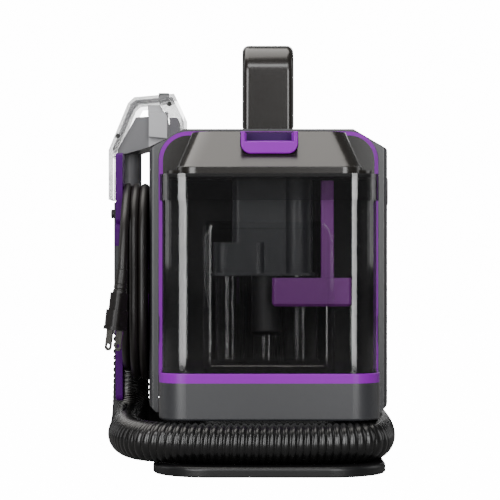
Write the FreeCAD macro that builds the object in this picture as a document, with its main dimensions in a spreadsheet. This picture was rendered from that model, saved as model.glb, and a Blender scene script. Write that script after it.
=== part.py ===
"""Portable carpet and upholstery cleaner: a waisted base with a groove for the hose, a chassis,
a two-part body shell, a dirty-water tank in front, a clean-water tank behind, a carrying handle,
a docked hand tool and a wound mains cord on the left side.

Frame: +Z up, -Y is the dirty tank's end, +X is the side away from the cord. Millimetres.
The origin is the centre of the base plate's underside, on the floor.
"""

import FreeCAD, Part
import math
import os
import re
import Sketcher

V = FreeCAD.Vector

# ---------------------------------------------------------------- driving dimensions
DIMENSIONS = [
    ("plate_width", 181, "base plate across"),
    ("plate_length", 416, "base plate front to back"),
    ("plate_corner", 45, "base plate corner radius"),
    ("plate_thick", 8.4, "base plate thickness"),
    ("groove_height", 32.6, "height of the groove that the hose lies in"),
    ("neck_width", 146, "waist between plate and chassis, across"),
    ("neck_length", 350, "waist front to back"),
    ("neck_corner", 37, "waist corner radius"),
    ("wall", 3, "wall of the structural mouldings"),
    ("chassis_width", 172, "chassis across"),
    ("chassis_length", 370, "chassis front to back"),
    ("chassis_corner", 22, "chassis corner radius"),
    ("chassis_height", 29, "chassis height"),
    ("trim_height", 7.4, "coloured rim round each tank seat"),
    ("fit_gap", 0.4, "clearance of a tank in its rim"),
    ("body_front", -98, "front face of the body shell"),
    ("body_rear", 95, "rear face of the body shell"),
    ("body_width", 196.8, "body shell at its widest"),
    ("front_width", 191, "body shell at its front face"),
    ("rear_width", 184, "body shell at its rear face"),
    ("roof_top", 271, "height of the flat roof"),
    ("roof_width", 138, "width of the flat roof"),
    ("eave_height", 253.8, "height where the roof slope meets the side"),
    ("arch_width", 178.2, "coloured arch across"),
    ("arch_corner", 24, "coloured arch corner radius"),
    ("arch_band", 3.7, "width of the arch's band"),
    ("arch_depth", 5.8, "arch front to back"),
    ("tank_width", 167, "both tanks across"),
    ("tank_depth", 82.4, "both tanks front to back"),
    ("tank_corner", 20, "both tanks' corner radius"),
    ("tank_wall", 2.6, "wall of both tanks"),
    ("tank_top", 229, "rim of both tanks"),
    ("skirt_drop", 18, "how far the lid's skirt reaches below the rim"),
    ("skirt_wall", 1.6, "wall of the lid's skirt"),
    ("hood_height", 34, "lid hood above the rim"),
    ("hood_wall", 2.5, "wall of the lid's hood"),
    ("latch_width", 44.4, "lid latch across"),
    ("pocket_width", 106, "recess in the dirty tank's rear wall, across"),
    ("pocket_top", 196, "top of that recess"),
    ("handle_width", 43, "carrying handle across"),
    ("handle_front", -62, "front face of the handle's front leg"),
    ("handle_rear", 72, "rear face of the handle's rear leg"),
    ("handle_top", 345, "top of the handle"),
    ("handle_leg", 18, "thickness of the handle's legs and bar"),
    ("hose_diameter", 31.4, "suction hose outside"),
    ("hose_gap", 0.4, "hose above the plate"),
    ("cord_diameter", 7, "mains cord outside"),
    ("cord_pitch", 7.1, "spacing of the cord's turns"),
    ("cord_layers", 3, "layers of cord outwards from the body"),
    ("cord_turns", 4, "turns in each layer"),
    ("hook_radius", 21.5, "saddle radius of the cord hooks"),
    ("hook_place", -50, "cord hooks' centre, front to back"),
    ("upper_hook", 178, "height of the upper hook's pivot"),
    ("lower_hook", 114.4, "height of the lower hook's pivot"),
    ("tongue_reach", 75.4, "upper hook's tongue from its pivot"),
    ("lower_reach", 67, "lower hook's tongue from its pivot"),
    ("tongue_width", 30, "both tongues across"),
    ("tongue_thick", 5.8, "both tongues' thickness"),
    ("wand_side", -118.5, "hand tool's axis, left of centre"),
    ("wand_place", 18.5, "hand tool's axis, front to back"),
    ("grip_radius", 15, "hand tool's grip"),
    ("grip_bottom", 118, "lower end of the grip"),
    ("grip_top", 214, "upper end of the grip"),
    ("cuff_length", 18, "hose cuff under the grip"),
    ("head_front", -25, "nozzle head's front end"),
    ("head_width", 85, "nozzle head's width, front to back"),
    ("head_top", 305.5, "top of the nozzle head"),
    ("port_front", 36, "hose port's front face"),
    ("port_depth", 20, "hose port front to back"),
    ("motor_radius", 40, "suction motor"),
    ("fan_radius", 60, "fan housing"),
    ("screw_radius", 2, "casing screws"),
]
ALIASES = {alias for alias, _, _ in DIMENSIONS}

doc = FreeCAD.newDocument("CarpetCleaner")
sheet = doc.addObject("Spreadsheet::Sheet", "Dims")
for row, (alias, number, note) in enumerate(DIMENSIONS, 1):
    sheet.set(f"A{row}", alias)
    sheet.set(f"B{row}", str(number))
    sheet.setAlias(f"B{row}", alias)
    sheet.set(f"C{row}", note)
doc.recompute()


# ---------------------------------------------------------------- helpers
def bound(text):
    """The expression with every alias written as a reference to the sheet."""
    return re.sub(r"[a-z_]+", lambda m: f"Dims.{m.group(0)}" if m.group(0) in ALIASES else m.group(0),
                  str(text))


def number(text):
    """What an expression comes to now, in millimetres."""
    return float(sheet.evalExpression(bound(text)))


def neg(text):
    return f"-({text})"


def plus(*terms):
    return " + ".join(f"({t})" for t in terms)


def minus(first, *rest):
    return f"({first})" + "".join(f" - ({t})" for t in rest)


PLANES = {"XY": "XY_Plane", "XZ": "XZ_Plane", "YZ": "YZ_Plane"}


def new_body(label):
    body = doc.addObject("PartDesign::Body", label)
    body.Label = label
    return body


def new_sketch(body, plane, low, high):
    """A sketch across the plane's normal, where a feature from low to high starts."""
    sketch = body.newObject("Sketcher::SketchObject", f"{body.Name}_sketch")
    support = [f for f in body.Origin.OriginFeatures if f.Role == PLANES[plane]][0]
    sketch.AttachmentSupport = [(support, "")]
    sketch.MapMode = "FlatFace"
    # The XZ plane's normal points to -Y, so a feature there starts at its high side.
    start = neg(high) if plane == "XZ" else low
    sketch.setExpression("AttachmentOffset.Base.z", bound(start))
    return sketch


def fix_number(sketch, name, kind, *where):
    """One sketch constraint that follows an expression."""
    expression = where[-1]
    index = sketch.addConstraint(Sketcher.Constraint(kind, *where[:-1], number(expression)))
    sketch.renameConstraint(index, name)
    sketch.setExpression(f"Constraints.{name}", bound(expression))


def draw_rect(sketch, left, right, bottom, top, radius):
    """A rectangle with round corners, placed by its four sides."""
    x0, x1, y0, y1, r = (number(t) for t in (left, right, bottom, top, radius))
    corners = [(x1 - r, y0 + r), (x1 - r, y1 - r), (x0 + r, y1 - r), (x0 + r, y0 + r)]
    starts = [(x0 + r, y0), (x1, y0 + r), (x1 - r, y1), (x0, y1 - r)]
    ends = [(x1 - r, y0), (x1, y1 - r), (x0 + r, y1), (x0, y0 + r)]
    ids = []
    for k in range(4):
        line = Part.LineSegment(V(*starts[k], 0), V(*ends[k], 0))
        circle = Part.Circle(V(*corners[k], 0), V(0, 0, 1), r)
        turn = (k - 1) * math.pi / 2
        arc = Part.ArcOfCircle(circle, turn, turn + math.pi / 2)
        ids += [sketch.addGeometry(line, False), sketch.addGeometry(arc, False)]
    for k in range(8):
        sketch.addConstraint(Sketcher.Constraint("Tangent", ids[k], 2, ids[(k + 1) % 8], 1))
    for k in (0, 4):
        sketch.addConstraint(Sketcher.Constraint("Horizontal", ids[k]))
        sketch.addConstraint(Sketcher.Constraint("Vertical", ids[k + 2]))
    fix_number(sketch, "low_side", "DistanceY", -1, 1, ids[0], 1, bottom)
    fix_number(sketch, "right_side", "DistanceX", -1, 1, ids[2], 1, right)
    fix_number(sketch, "high_side", "DistanceY", -1, 1, ids[4], 1, top)
    fix_number(sketch, "left_side", "DistanceX", -1, 1, ids[6], 1, left)
    for k in range(4):
        fix_number(sketch, f"corner_{k}", "Radius", ids[2 * k + 1], radius)


def draw_polygon(sketch, *points):
    """A polygon, each corner placed from the sketch's origin."""
    at = [(number(x), number(y)) for x, y in points]
    count = len(at)
    ids = []
    for k in range(count):
        line = Part.LineSegment(V(*at[k], 0), V(*at[(k + 1) % count], 0))
        ids.append(sketch.addGeometry(line, False))
    for k in range(count):
        sketch.addConstraint(Sketcher.Constraint("Coincident", ids[k], 2, ids[(k + 1) % count], 1))
    for k, (x, y) in enumerate(points):
        fix_number(sketch, f"across_{k}", "DistanceX", -1, 1, ids[k], 1, x)
        fix_number(sketch, f"up_{k}", "DistanceY", -1, 1, ids[k], 1, y)


def draw_circle(sketch, across, up, radius):
    centre = V(number(across), number(up), 0)
    circle = sketch.addGeometry(Part.Circle(centre, V(0, 0, 1), number(radius)), False)
    fix_number(sketch, "across", "DistanceX", -1, 1, circle, 3, across)
    fix_number(sketch, "up", "DistanceY", -1, 1, circle, 3, up)
    fix_number(sketch, "radius", "Radius", circle, radius)


def rect(left, right, bottom, top, radius=None):
    if radius is None:
        corners = [(left, bottom), (right, bottom), (right, top), (left, top)]
        return lambda sketch: draw_polygon(sketch, *corners)
    return lambda sketch: draw_rect(sketch, left, right, bottom, top, radius)


def middle(width, low, high, radius=None):
    """A rectangle centred on the sketch's upright axis."""
    return rect(f"-({width})/2", f"({width})/2", low, high, radius)


def polygon(*points):
    return lambda sketch: draw_polygon(sketch, *points)


def circle(across, up, radius):
    return lambda sketch: draw_circle(sketch, across, up, radius)


def add(body, plane, low, high, outline):
    """Adds the outline's prism from low to high along the plane's axis."""
    sketch = new_sketch(body, plane, low, high)
    outline(sketch)
    pad = body.newObject("PartDesign::Pad", f"{body.Name}_prism")
    pad.Profile = sketch
    pad.setExpression("Length", bound(minus(high, low)))
    doc.recompute()
    return pad


def remove(body, plane, low, high, outline):
    """Cuts the outline's prism from low to high, and makes sure that it cut something."""
    before = body.Shape.Volume
    sketch = new_sketch(body, plane, low, high)
    outline(sketch)
    pocket = body.newObject("PartDesign::Pocket", f"{body.Name}_cutout")
    pocket.Profile = sketch
    pocket.Reversed = True
    pocket.setExpression("Length", bound(minus(high, low)))
    doc.recompute()
    if not body.Shape.Volume < before - 0.01:
        raise RuntimeError(f"{pocket.Name} of {body.Label} cuts nothing")
    return pocket


def loft(body, kind, *levels):
    """A loft through (height, outline) levels across the XY plane. kind is Additive or Subtractive."""
    sketches = []
    for height, outline in levels:
        sketch = new_sketch(body, "XY", height, height)
        outline(sketch)
        sketches.append(sketch)
    feature = body.newObject(f"PartDesign::{kind}Loft", f"{body.Name}_loft")
    feature.Profile = sketches[0]
    feature.Sections = sketches[1:]
    feature.Ruled = True
    doc.recompute()
    return feature


def edge_names(body, chosen):
    return [f"Edge{k + 1}" for k, edge in enumerate(body.Shape.Edges) if chosen(edge)]


def ease(body, kind, size, chosen):
    """Rounds (Fillet) or bevels (Chamfer) the chosen edges."""
    names = edge_names(body, chosen)
    if not names:
        raise RuntimeError(f"{body.Label} has no such edge to ease")
    tip = body.Tip
    feature = body.newObject(f"PartDesign::{kind}", f"{body.Name}_{kind.lower()}")
    feature.Base = (tip, names)
    feature.setExpression("Radius" if kind == "Fillet" else "Size", bound(size))
    doc.recompute()
    if "Invalid" in feature.State:
        raise RuntimeError(f"{feature.Name} of {body.Label} cannot be made")
    return feature


def span(edge, axis):
    box = edge.BoundBox
    return getattr(box, f"{axis}Min"), getattr(box, f"{axis}Max")


def lies_at(axis, place, off=0.01):
    """Edges that lie in the plane where axis has that value."""
    value = number(place)

    def chosen(edge):
        low, high = span(edge, axis)
        return abs(low - value) < off and abs(high - value) < off

    return chosen


def runs_along(axis, **at):
    """Straight edges along an axis that pass through the given values of the other two."""
    wanted = {other: number(place) for other, place in at.items()}

    def chosen(edge):
        low, high = span(edge, axis)
        if high - low < 0.5:
            return False
        return all(abs(v - wanted[o]) < 0.02 for o in wanted for v in span(edge, o))

    return chosen


def both(*tests):
    return lambda edge: all(test(edge) for test in tests)


def either(*tests):
    return lambda edge: any(test(edge) for test in tests)


def above(axis, place):
    value = number(place)
    return lambda edge: span(edge, axis)[0] > value


def shape_part(label, shape):
    """A sub-part whose shape is worked out from the sheet in this script."""
    feature = doc.addObject("Part::Feature", label)
    feature.Label = label
    feature.Shape = shape
    return feature


def cylinder_part(label, radius, height, at, axis="Z"):
    """A Part::Cylinder whose sizes and place follow the sheet; at is its base's centre."""
    part = doc.addObject("Part::Cylinder", label)
    part.Label = label
    part.setExpression("Radius", bound(radius))
    part.setExpression("Height", bound(height))
    turn = {"Z": V(0, 0, 1), "X": V(1, 0, 0), "Y": V(0, 1, 0)}[axis]
    part.Placement = FreeCAD.Placement(V(), FreeCAD.Rotation(V(0, 0, 1), turn))
    for letter, place in zip("xyz", at):
        part.setExpression(f"Placement.Base.{letter}", bound(place))
    return part


def joined(label, parts):
    """Several solids that share one node, such as the screws of one kind."""
    group = doc.addObject("Part::Compound", label)
    group.Label = label
    group.Links = parts
    return group


def fused(label, parts):
    fusion = doc.addObject("Part::MultiFuse", label)
    fusion.Label = label
    fusion.Shapes = parts
    doc.recompute()
    return fusion


def rounded_path(points, radii=None):
    """Straight runs joined by tangent arcs. Each arc's radius is 0.45 of the shorter run over the
    tangent of half the turn, unless radii gives one."""
    edges = []
    start = points[0]
    least = None
    for k in range(1, len(points) - 1):
        before = points[k] - points[k - 1]
        after = points[k + 1] - points[k]
        turn = before.getAngle(after)
        shorter = min(before.Length, after.Length)
        radius = 0.45 * shorter / math.tan(turn / 2)
        if radii and radii.get(k):
            radius = radii[k]
        least = radius if least is None else min(least, radius)
        reach = radius * math.tan(turn / 2)
        into = points[k] - before.normalize() * reach
        out = points[k] + after.normalize() * reach
        bisector = (out + into) * 0.5 - points[k]
        centre_way = bisector.normalize()
        centre = points[k] + centre_way * (radius / math.cos(turn / 2))
        mid = centre - centre_way * radius
        if (into - start).Length > 1e-6:
            edges.append(Part.LineSegment(start, into).toShape())
        edges.append(Part.Arc(into, mid, out).toShape())
        start = out
    edges.append(Part.LineSegment(start, points[-1]).toShape())
    return Part.Wire(edges), least


def tube(points, radius, bore=0, radii=None):
    """A round tube along a route, and the length of its path."""
    wire, least = rounded_path(points, radii)
    first = wire.Edges[0]
    heading = first.tangentAt(first.FirstParameter)

    def swept(size):
        ring = Part.Wire([Part.Circle(points[0], heading, size).toShape()])
        return wire.makePipeShell([ring], True, False)

    solid = swept(radius)
    if bore:
        solid = solid.cut(swept(bore))
    area = math.pi * (radius**2 - bore**2)
    share = solid.Volume / (area * wire.Length)
    if abs(share - 1) > 0.01:
        raise RuntimeError(f"a tube's volume is {share:.3f} of its section times its length")
    return solid, wire.Length, least


# ---------------------------------------------------------------- heights and places used by many
CHASSIS_BASE = "plate_thick + groove_height"
DECK = plus(CHASSIS_BASE, "chassis_height")
TANK_BASE = plus(DECK, "0.6")
CHASSIS_FRONT = "-chassis_length/2"
TANK_FRONT = plus(CHASSIS_FRONT, "3")
TANK_REAR = plus(TANK_FRONT, "tank_depth")
CLEAN_FRONT = neg(TANK_REAR)
CLEAN_REAR = neg(TANK_FRONT)
WALL_LEFT = "-body_width/2"
HOSE_HEIGHT = "plate_thick + hose_gap + hose_diameter/2"
HOSE_SIDE = "neck_width/2 + hose_diameter/2 + 0.3"
HOOK_FACE = minus(WALL_LEFT, "0.4")
COIL_FACE = minus(WALL_LEFT, "0.5")
COIL_OUTER = minus(COIL_FACE, "cord_layers*cord_pitch")
COIL_RADIUS = "hook_radius + 0.5"

# ---------------------------------------------------------------- base plate, feet and waist
# A flat moulded plate that the whole machine stands on; its rim keeps the hose from slipping down.
plate = new_body("base_plate")
add(plate, "XY", "0", "plate_thick",
    middle("plate_width", "-plate_length/2", "plate_length/2", "plate_corner"))
ease(plate, "Fillet", "3", lies_at("Z", "plate_thick"))
ease(plate, "Chamfer", "1.2", lies_at("Z", "0"))
FOOT_PLACES = [(sx, sy) for sx in (-1, 1) for sy in (-1, 1)]
FOOT_SIDE = "plate_width/2 - 22"
FOOT_LONG = "plate_length/2 - 34"
FOOT_RADIUS = "10"
for sx, sy in FOOT_PLACES:
    remove(plate, "XY", "0", "3", circle(f"{sx}*({FOOT_SIDE})", f"{sy}*({FOOT_LONG})", FOOT_RADIUS))
SCREW_SIDE = "neck_width/2 - wall - 4"
BASE_SCREWS = [(sx, f"{sy}*neck_length*0.38") for sx in (-1, 1) for sy in (-1, 0, 1)]
for sx, along in BASE_SCREWS:
    remove(plate, "XY", "0", "plate_thick", circle(f"{sx}*({SCREW_SIDE})", along, "screw_radius + 0.3"))
    remove(plate, "XY", "0", "3.6", circle(f"{sx}*({SCREW_SIDE})", along, "5"))

# Rubber pads bonded flush into the plate's underside.
feet = []
for k, (sx, sy) in enumerate(FOOT_PLACES):
    at = (f"{sx}*({FOOT_SIDE})", f"{sy}*({FOOT_LONG})", "0")
    feet.append(cylinder_part(f"foot_{k}", f"{FOOT_RADIUS} - 0.1", "3", at))
joined("rubber_feet", feet)

# The waist: a closed wall that the hose is wound round, with six screw posts inside.
neck = new_body("base_waist")
neck_high = CHASSIS_BASE
add(neck, "XY", "plate_thick", neck_high,
    middle("neck_width", "-neck_length/2", "neck_length/2", "neck_corner"))
remove(neck, "XY", "plate_thick", neck_high,
       middle("neck_width - 2*wall", "-neck_length/2 + wall", "neck_length/2 - wall", "neck_corner - wall"))
for sx, along in BASE_SCREWS:
    add(neck, "XY", "plate_thick", plus("plate_thick", "18"), circle(f"{sx}*({SCREW_SIDE})", along, "6"))
for sx, along in BASE_SCREWS:
    remove(neck, "XY", "plate_thick", plus("plate_thick", "14"),
           circle(f"{sx}*({SCREW_SIDE})", along, "screw_radius + 0.02"))
PORT_PLACE = "port_front + port_depth/2"
remove(neck, "YZ", "-neck_width/2", "-neck_width/2 + wall + 1", circle(PORT_PLACE, HOSE_HEIGHT, "11.5"))

screws = []
for k, (sx, along) in enumerate(BASE_SCREWS):
    at = (f"{sx}*({SCREW_SIDE})", along)
    head = cylinder_part(f"base_screw_head_{k}", "4.6", "2.8", (*at, "0.8"))
    shank = cylinder_part(f"base_screw_shank_{k}", "screw_radius", "plate_thick + 8", (*at, "3.5"))
    screws.append(fused(f"base_screw_{k}", [head, shank]))
joined("base_screws", screws)

# ---------------------------------------------------------------- chassis and tank rims
# A box moulding: its underside is the groove's ceiling, its deck carries both tanks.
chassis = new_body("chassis")
add(chassis, "XY", CHASSIS_BASE, DECK,
    middle("chassis_width", CHASSIS_FRONT, neg(CHASSIS_FRONT), "chassis_corner"))
ease(chassis, "Fillet", "2", lies_at("Z", CHASSIS_BASE))
remove(chassis, "XY", plus(CHASSIS_BASE, "wall"), minus(DECK, "wall"),
       middle("chassis_width - 2*wall", plus(CHASSIS_FRONT, "wall"), minus(neg(CHASSIS_FRONT), "wall"),
              "chassis_corner - wall"))
remove(chassis, "XY", CHASSIS_BASE, plus(CHASSIS_BASE, "wall"),
       middle("neck_width - 4*wall", "-neck_length/2 + 2*wall", "neck_length/2 - 2*wall",
              "neck_corner - 2*wall"))
VALVE_PLACE = plus(CLEAN_FRONT, "tank_depth/2")
DIRTY_PIPE = ("38", "body_front + 30")
remove(chassis, "XY", minus(DECK, "wall"), DECK, circle(*DIRTY_PIPE, "11.4"))


def tank_rim(label, outer_end, body_end, towards):
    """The coloured rim round a tank seat, a U that is open towards the body."""
    rim = new_body(label)
    gap = "fit_gap"
    inner_width = plus("tank_width", "2*fit_gap")
    ends = (outer_end, body_end) if towards > 0 else (body_end, outer_end)
    stretch = f"{towards}*60"
    wide = (outer_end, plus(body_end, stretch)) if towards > 0 else (plus(body_end, stretch), outer_end)
    add(rim, "XY", DECK, plus(DECK, "trim_height"), middle("chassis_width", *wide, "chassis_corner"))
    inset = f"{towards}*(3 - fit_gap)"
    inner = (plus(outer_end, inset), ends[1]) if towards > 0 else (ends[0], plus(outer_end, inset))
    inner = (inner[0], plus(inner[1], "40")) if towards > 0 else (minus(inner[0], "40"), inner[1])
    remove(rim, "XY", DECK, plus(DECK, "trim_height"), middle(inner_width, *inner, f"tank_corner + {gap}"))
    beyond = (body_end, plus(body_end, "70")) if towards > 0 else (minus(body_end, "70"), body_end)
    remove(rim, "XY", minus(DECK, "1"), plus(DECK, "trim_height + 1"), middle("chassis_width + 20", *beyond))
    top = plus(DECK, "trim_height")
    ease(rim, "Fillet", "0.7", both(lies_at("Z", top), lambda e: span(e, "X")[0] != span(e, "X")[1]))
    return rim


tank_rim("dirty_tank_rim", CHASSIS_FRONT, minus("body_front", "2"), 1)
tank_rim("clean_tank_rim", neg(CHASSIS_FRONT), plus("body_rear", "1"), -1)

# ---------------------------------------------------------------- body shell, in two halves
ARCH_TOP = minus("roof_top", "2.2")
REAR_ARCH = ("rear_width - 16", minus("roof_top", "8"), "38")
WIDEST_FRONT = "body_front + 36"
WIDEST_REAR = "body_rear - 75"
BUTTON_SIDE = "roof_width/2 - 24"
BUTTON_PLACE = "-5"
BUTTON_RADIUS = "12"
VENT_LOW = "eave_height - 44"
VENT_HIGH = "eave_height - 22"
VENT_FRONT = "body_front + 23"
VENT_REAR = "body_front + 83"


def side_shell(label, side):
    """Half of the body shell: a flared side, a sloping roof and an arched opening at each end."""

    def x(value):
        return f"{side}*({value})"

    half = "body_width/2"
    shell = new_body(label)
    low, high = CHASSIS_BASE, "roof_top"
    # The side bulges: it widens over the first quarter and narrows gently over the last two.
    bulge = "body_width/2 - front_width/2"
    taper = "body_width/2 - rear_width/2"
    flare = [("front_width/2", "body_front"), (f"front_width/2 + 0.6*({bulge})", "body_front + 11"),
             (f"front_width/2 + 0.9*({bulge})", "body_front + 22"), (half, WIDEST_FRONT),
             (half, WIDEST_REAR), (f"{half} - 0.14*({taper})", "body_rear - 55"),
             (f"{half} - 0.48*({taper})", "body_rear - 28"), ("rear_width/2", "body_rear")]
    side_line = [(x(across), along) for across, along in flare]
    add(shell, "XY", low, high, polygon((x("0.15"), "body_front"), *side_line, (x("0.15"), "body_rear")))
    ease(shell, "Fillet", "12", runs_along("Z", X=x("rear_width/2"), Y="body_rear"))
    ease(shell, "Fillet", "2.5", runs_along("Z", X=x("front_width/2"), Y="body_front"))
    slope = "(roof_top - eave_height)/((body_width - roof_width)/2)"
    beyond = plus(half, "12")
    remove(shell, "XZ", "body_front - 1", "body_rear + 1", polygon(
        (x("roof_width/2"), high), (x(beyond), high), (x(beyond), f"eave_height - 12*{slope}")))
    remove(shell, "XZ", "body_front - 1", "body_rear + 1", polygon(
        (x(minus(half, "7")), low), (x(beyond), low), (x(beyond), plus(low, "19"))))
    front, rear = "body_front + wall", "body_rear - wall"
    floor = plus(low, "wall")
    remove(shell, "XY", floor, "eave_height - 8", polygon(
        (x("-1"), front), (x("front_width/2 - wall"), front), (x("body_width/2 - wall"), WIDEST_FRONT),
        (x("body_width/2 - wall"), WIDEST_REAR), (x("rear_width/2 - wall"), rear), (x("-1"), rear)))
    narrow = "rear_width/2 - wall - 1"
    ceiling = "roof_top - wall"
    bend = "roof_width/2 - 1"
    remove(shell, "XZ", front, rear, polygon(
        (x("-1"), "eave_height - 9"), (x(narrow), "eave_height - 9"),
        (x(narrow), f"{ceiling} - (rear_width/2 - wall - 1 - roof_width/2 + 1)*{slope}"),
        (x(bend), ceiling), (x("-1"), ceiling)))
    deck_span = sorted([x("-1"), x("chassis_width/2 + 0.4")], key=number)
    remove(shell, "XY", low, plus(DECK, "0.2"), rect(*deck_span, "body_front - 1", "body_rear + 1"))
    arch = middle("arch_width + 0.4", "-60", plus(ARCH_TOP, "0.2"), "arch_corner")
    remove(shell, "XZ", "body_front - 1", "body_front + 8.5", arch)
    width, top, corner = REAR_ARCH
    rear_arch = middle(plus(width, "0.4"), "-60", plus(top, "0.2"), corner)
    remove(shell, "XZ", "body_rear - wall - 0.5", "body_rear + 1", rear_arch)
    return shell


left_shell = side_shell("body_shell_left", -1)
right_shell = side_shell("body_shell_right", 1)
remove(right_shell, "XY", "roof_top - wall - 1", "roof_top + 1",
       circle(BUTTON_SIDE, BUTTON_PLACE, plus(BUTTON_RADIUS, "2.6")))
remove(right_shell, "YZ", "body_width/2 - wall - 2", "body_width/2 + 1",
       rect(VENT_FRONT, VENT_REAR, VENT_LOW, VENT_HIGH, "4"))
GLAND_PLACE = "hook_place + 17"
GLAND_HEIGHT = "lower_hook + 8"
remove(left_shell, "YZ", minus(WALL_LEFT, "1"), plus(WALL_LEFT, "wall + 1"),
       circle(GLAND_PLACE, GLAND_HEIGHT, "3.2"))
for height in ("upper_hook", "lower_hook"):
    remove(left_shell, "YZ", minus(WALL_LEFT, "1"), plus(WALL_LEFT, "wall + 1"),
           circle("hook_place", height, "screw_radius + 0.02"))

# The coloured arch that frames the dirty tank, open at its foot, scooped for the fingers.
arch = new_body("tank_arch")
ARCH_FRONT = "body_front - 1"
ARCH_REAR = plus(ARCH_FRONT, "arch_depth")
add(arch, "XZ", ARCH_FRONT, ARCH_REAR, middle("arch_width", "-60", ARCH_TOP, "arch_corner"))
remove(arch, "XZ", ARCH_FRONT, ARCH_REAR,
       middle("arch_width - 2*arch_band", "-80", minus(ARCH_TOP, "arch_band"), "arch_corner - arch_band"))
remove(arch, "XZ", ARCH_FRONT, ARCH_REAR, middle("arch_width + 20", "-90", plus(DECK, "0.2")))
for side in (-1, 1):
    scoop = circle(f"{side}*(arch_width/2 + 22)", plus(DECK, "38"), "25")
    remove(arch, "XZ", ARCH_FRONT, plus(ARCH_FRONT, "3"), scoop)


def bulkhead(label, face_front, face_rear, width, top, corner):
    """A dark panel that closes one end of the body behind the tank."""
    panel = new_body(label)
    add(panel, "XZ", face_front, face_rear, middle(width, "-60", top, corner))
    remove(panel, "XZ", face_front, face_rear, middle(plus(width, "10"), "-90", plus(DECK, "0.2")))
    return panel


front_panel = bulkhead("front_bulkhead", plus(ARCH_REAR, "0.1"), plus(ARCH_REAR, "3.1"),
                       "arch_width - 1", minus(ARCH_TOP, "0.4"), "arch_corner - 0.5")
PORT_HEIGHT = plus("tank_top", "17")
SUCTION_PORT = ("-38", PORT_HEIGHT)
DIRTY_PORT = ("38", PORT_HEIGHT)
for port in (SUCTION_PORT, DIRTY_PORT):
    remove(front_panel, "XZ", "body_front", "body_front + 15", circle(*port, "12.5"))
bulkhead("rear_bulkhead", "body_rear - wall", "body_rear - 0.2", *REAR_ARCH)

# ---------------------------------------------------------------- exhaust grille, right side
grille = new_body("exhaust_grille")
grille_in, grille_out = "body_width/2 - wall", "body_width/2 + 0.4"
add(grille, "YZ", grille_in, grille_out, rect(plus(VENT_FRONT, "0.2"), minus(VENT_REAR, "0.2"),
                                              plus(VENT_LOW, "0.2"), minus(VENT_HIGH, "0.2"), "3.8"))
SLOTS = 9
for k in range(SLOTS):
    start = f"{VENT_FRONT} + 5 + {k}*(({VENT_REAR}) - ({VENT_FRONT}) - 10)/{SLOTS}"
    remove(grille, "YZ", grille_in, grille_out, rect(start, plus(start, "3"), plus(VENT_LOW, "4"),
                                                     minus(VENT_HIGH, "4"), "1.4"))

# ---------------------------------------------------------------- carrying handle
# A wide strap that arches front to back over the roof, with a rubber pad under its bar.
handle = new_body("handle")
HALF_HANDLE = "handle_width/2"
add(handle, "YZ", neg(HALF_HANDLE), HALF_HANDLE,
    rect("handle_front", "handle_rear", "roof_top - 60", "handle_top", "27"))
remove(handle, "YZ", neg(HALF_HANDLE), HALF_HANDLE,
       rect("handle_front + handle_leg", "handle_rear - handle_leg", "roof_top - 45",
            "handle_top - handle_leg", "14"))
remove(handle, "YZ", neg(HALF_HANDLE), HALF_HANDLE,
       rect("handle_front - 1", "handle_rear + 1", "roof_top - 70", "roof_top"))
ease(handle, "Fillet", "5.5", both(above("Z", "roof_top - 0.1"), either(
    lies_at("X", neg(HALF_HANDLE)), lies_at("X", HALF_HANDLE))))
HANDLE_LEGS = ("handle_front + handle_leg/2", "handle_rear - handle_leg/2")
for leg in HANDLE_LEGS:
    for side in (-1, 1):
        remove(handle, "XY", "roof_top", "roof_top + 14", circle(f"{side}*9", leg, "screw_radius + 0.02"))
        for half_shell in (left_shell, right_shell):
            if (half_shell is right_shell) == (side > 0):
                remove(half_shell, "XY", "roof_top - wall - 1", "roof_top + 1",
                       circle(f"{side}*9", leg, "screw_radius + 0.3"))

pad = new_body("handle_pad")
add(pad, "XY", "handle_top - handle_leg - 2.6", "handle_top - handle_leg",
    rect("-handle_width/2 + 6", "handle_width/2 - 6", "handle_front + handle_leg + 16",
         "handle_rear - handle_leg - 16", "6"))

handle_screws = []
for leg in HANDLE_LEGS:
    for side in (-1, 1):
        name = f"handle_screw_{len(handle_screws)}"
        at = (f"{side}*9", leg)
        head = cylinder_part(f"{name}_head", "4", "2.4", (*at, "roof_top - wall - 2.4"))
        shank = cylinder_part(f"{name}_shank", "screw_radius", "14", (*at, "roof_top - wall - 0.2"))
        handle_screws.append(fused(name, [head, shank]))
joined("handle_screws", handle_screws)

# ---------------------------------------------------------------- power button in the roof
bezel = new_body("power_switch")
add(bezel, "XY", "roof_top - wall - 14", "roof_top + 0.2",
    circle(BUTTON_SIDE, BUTTON_PLACE, plus(BUTTON_RADIUS, "2.5")))
remove(bezel, "XY", "roof_top - wall - 14", "roof_top + 1",
       circle(BUTTON_SIDE, BUTTON_PLACE, plus(BUTTON_RADIUS, "0.4")))
button = new_body("power_button")
add(button, "XY", "roof_top - wall - 3", "roof_top", circle(BUTTON_SIDE, BUTTON_PLACE, BUTTON_RADIUS))
ease(button, "Fillet", "0.8", lies_at("Z", "roof_top"))
add(button, "XY", "roof_top - wall - 8", "roof_top - wall - 3", circle(BUTTON_SIDE, BUTTON_PLACE, "3"))
add(bezel, "XY", "roof_top - wall - 32", "roof_top - wall - 13",
    rect(minus(BUTTON_SIDE, "13"), plus(BUTTON_SIDE, "13"), "-18", "8", "2"))

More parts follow.
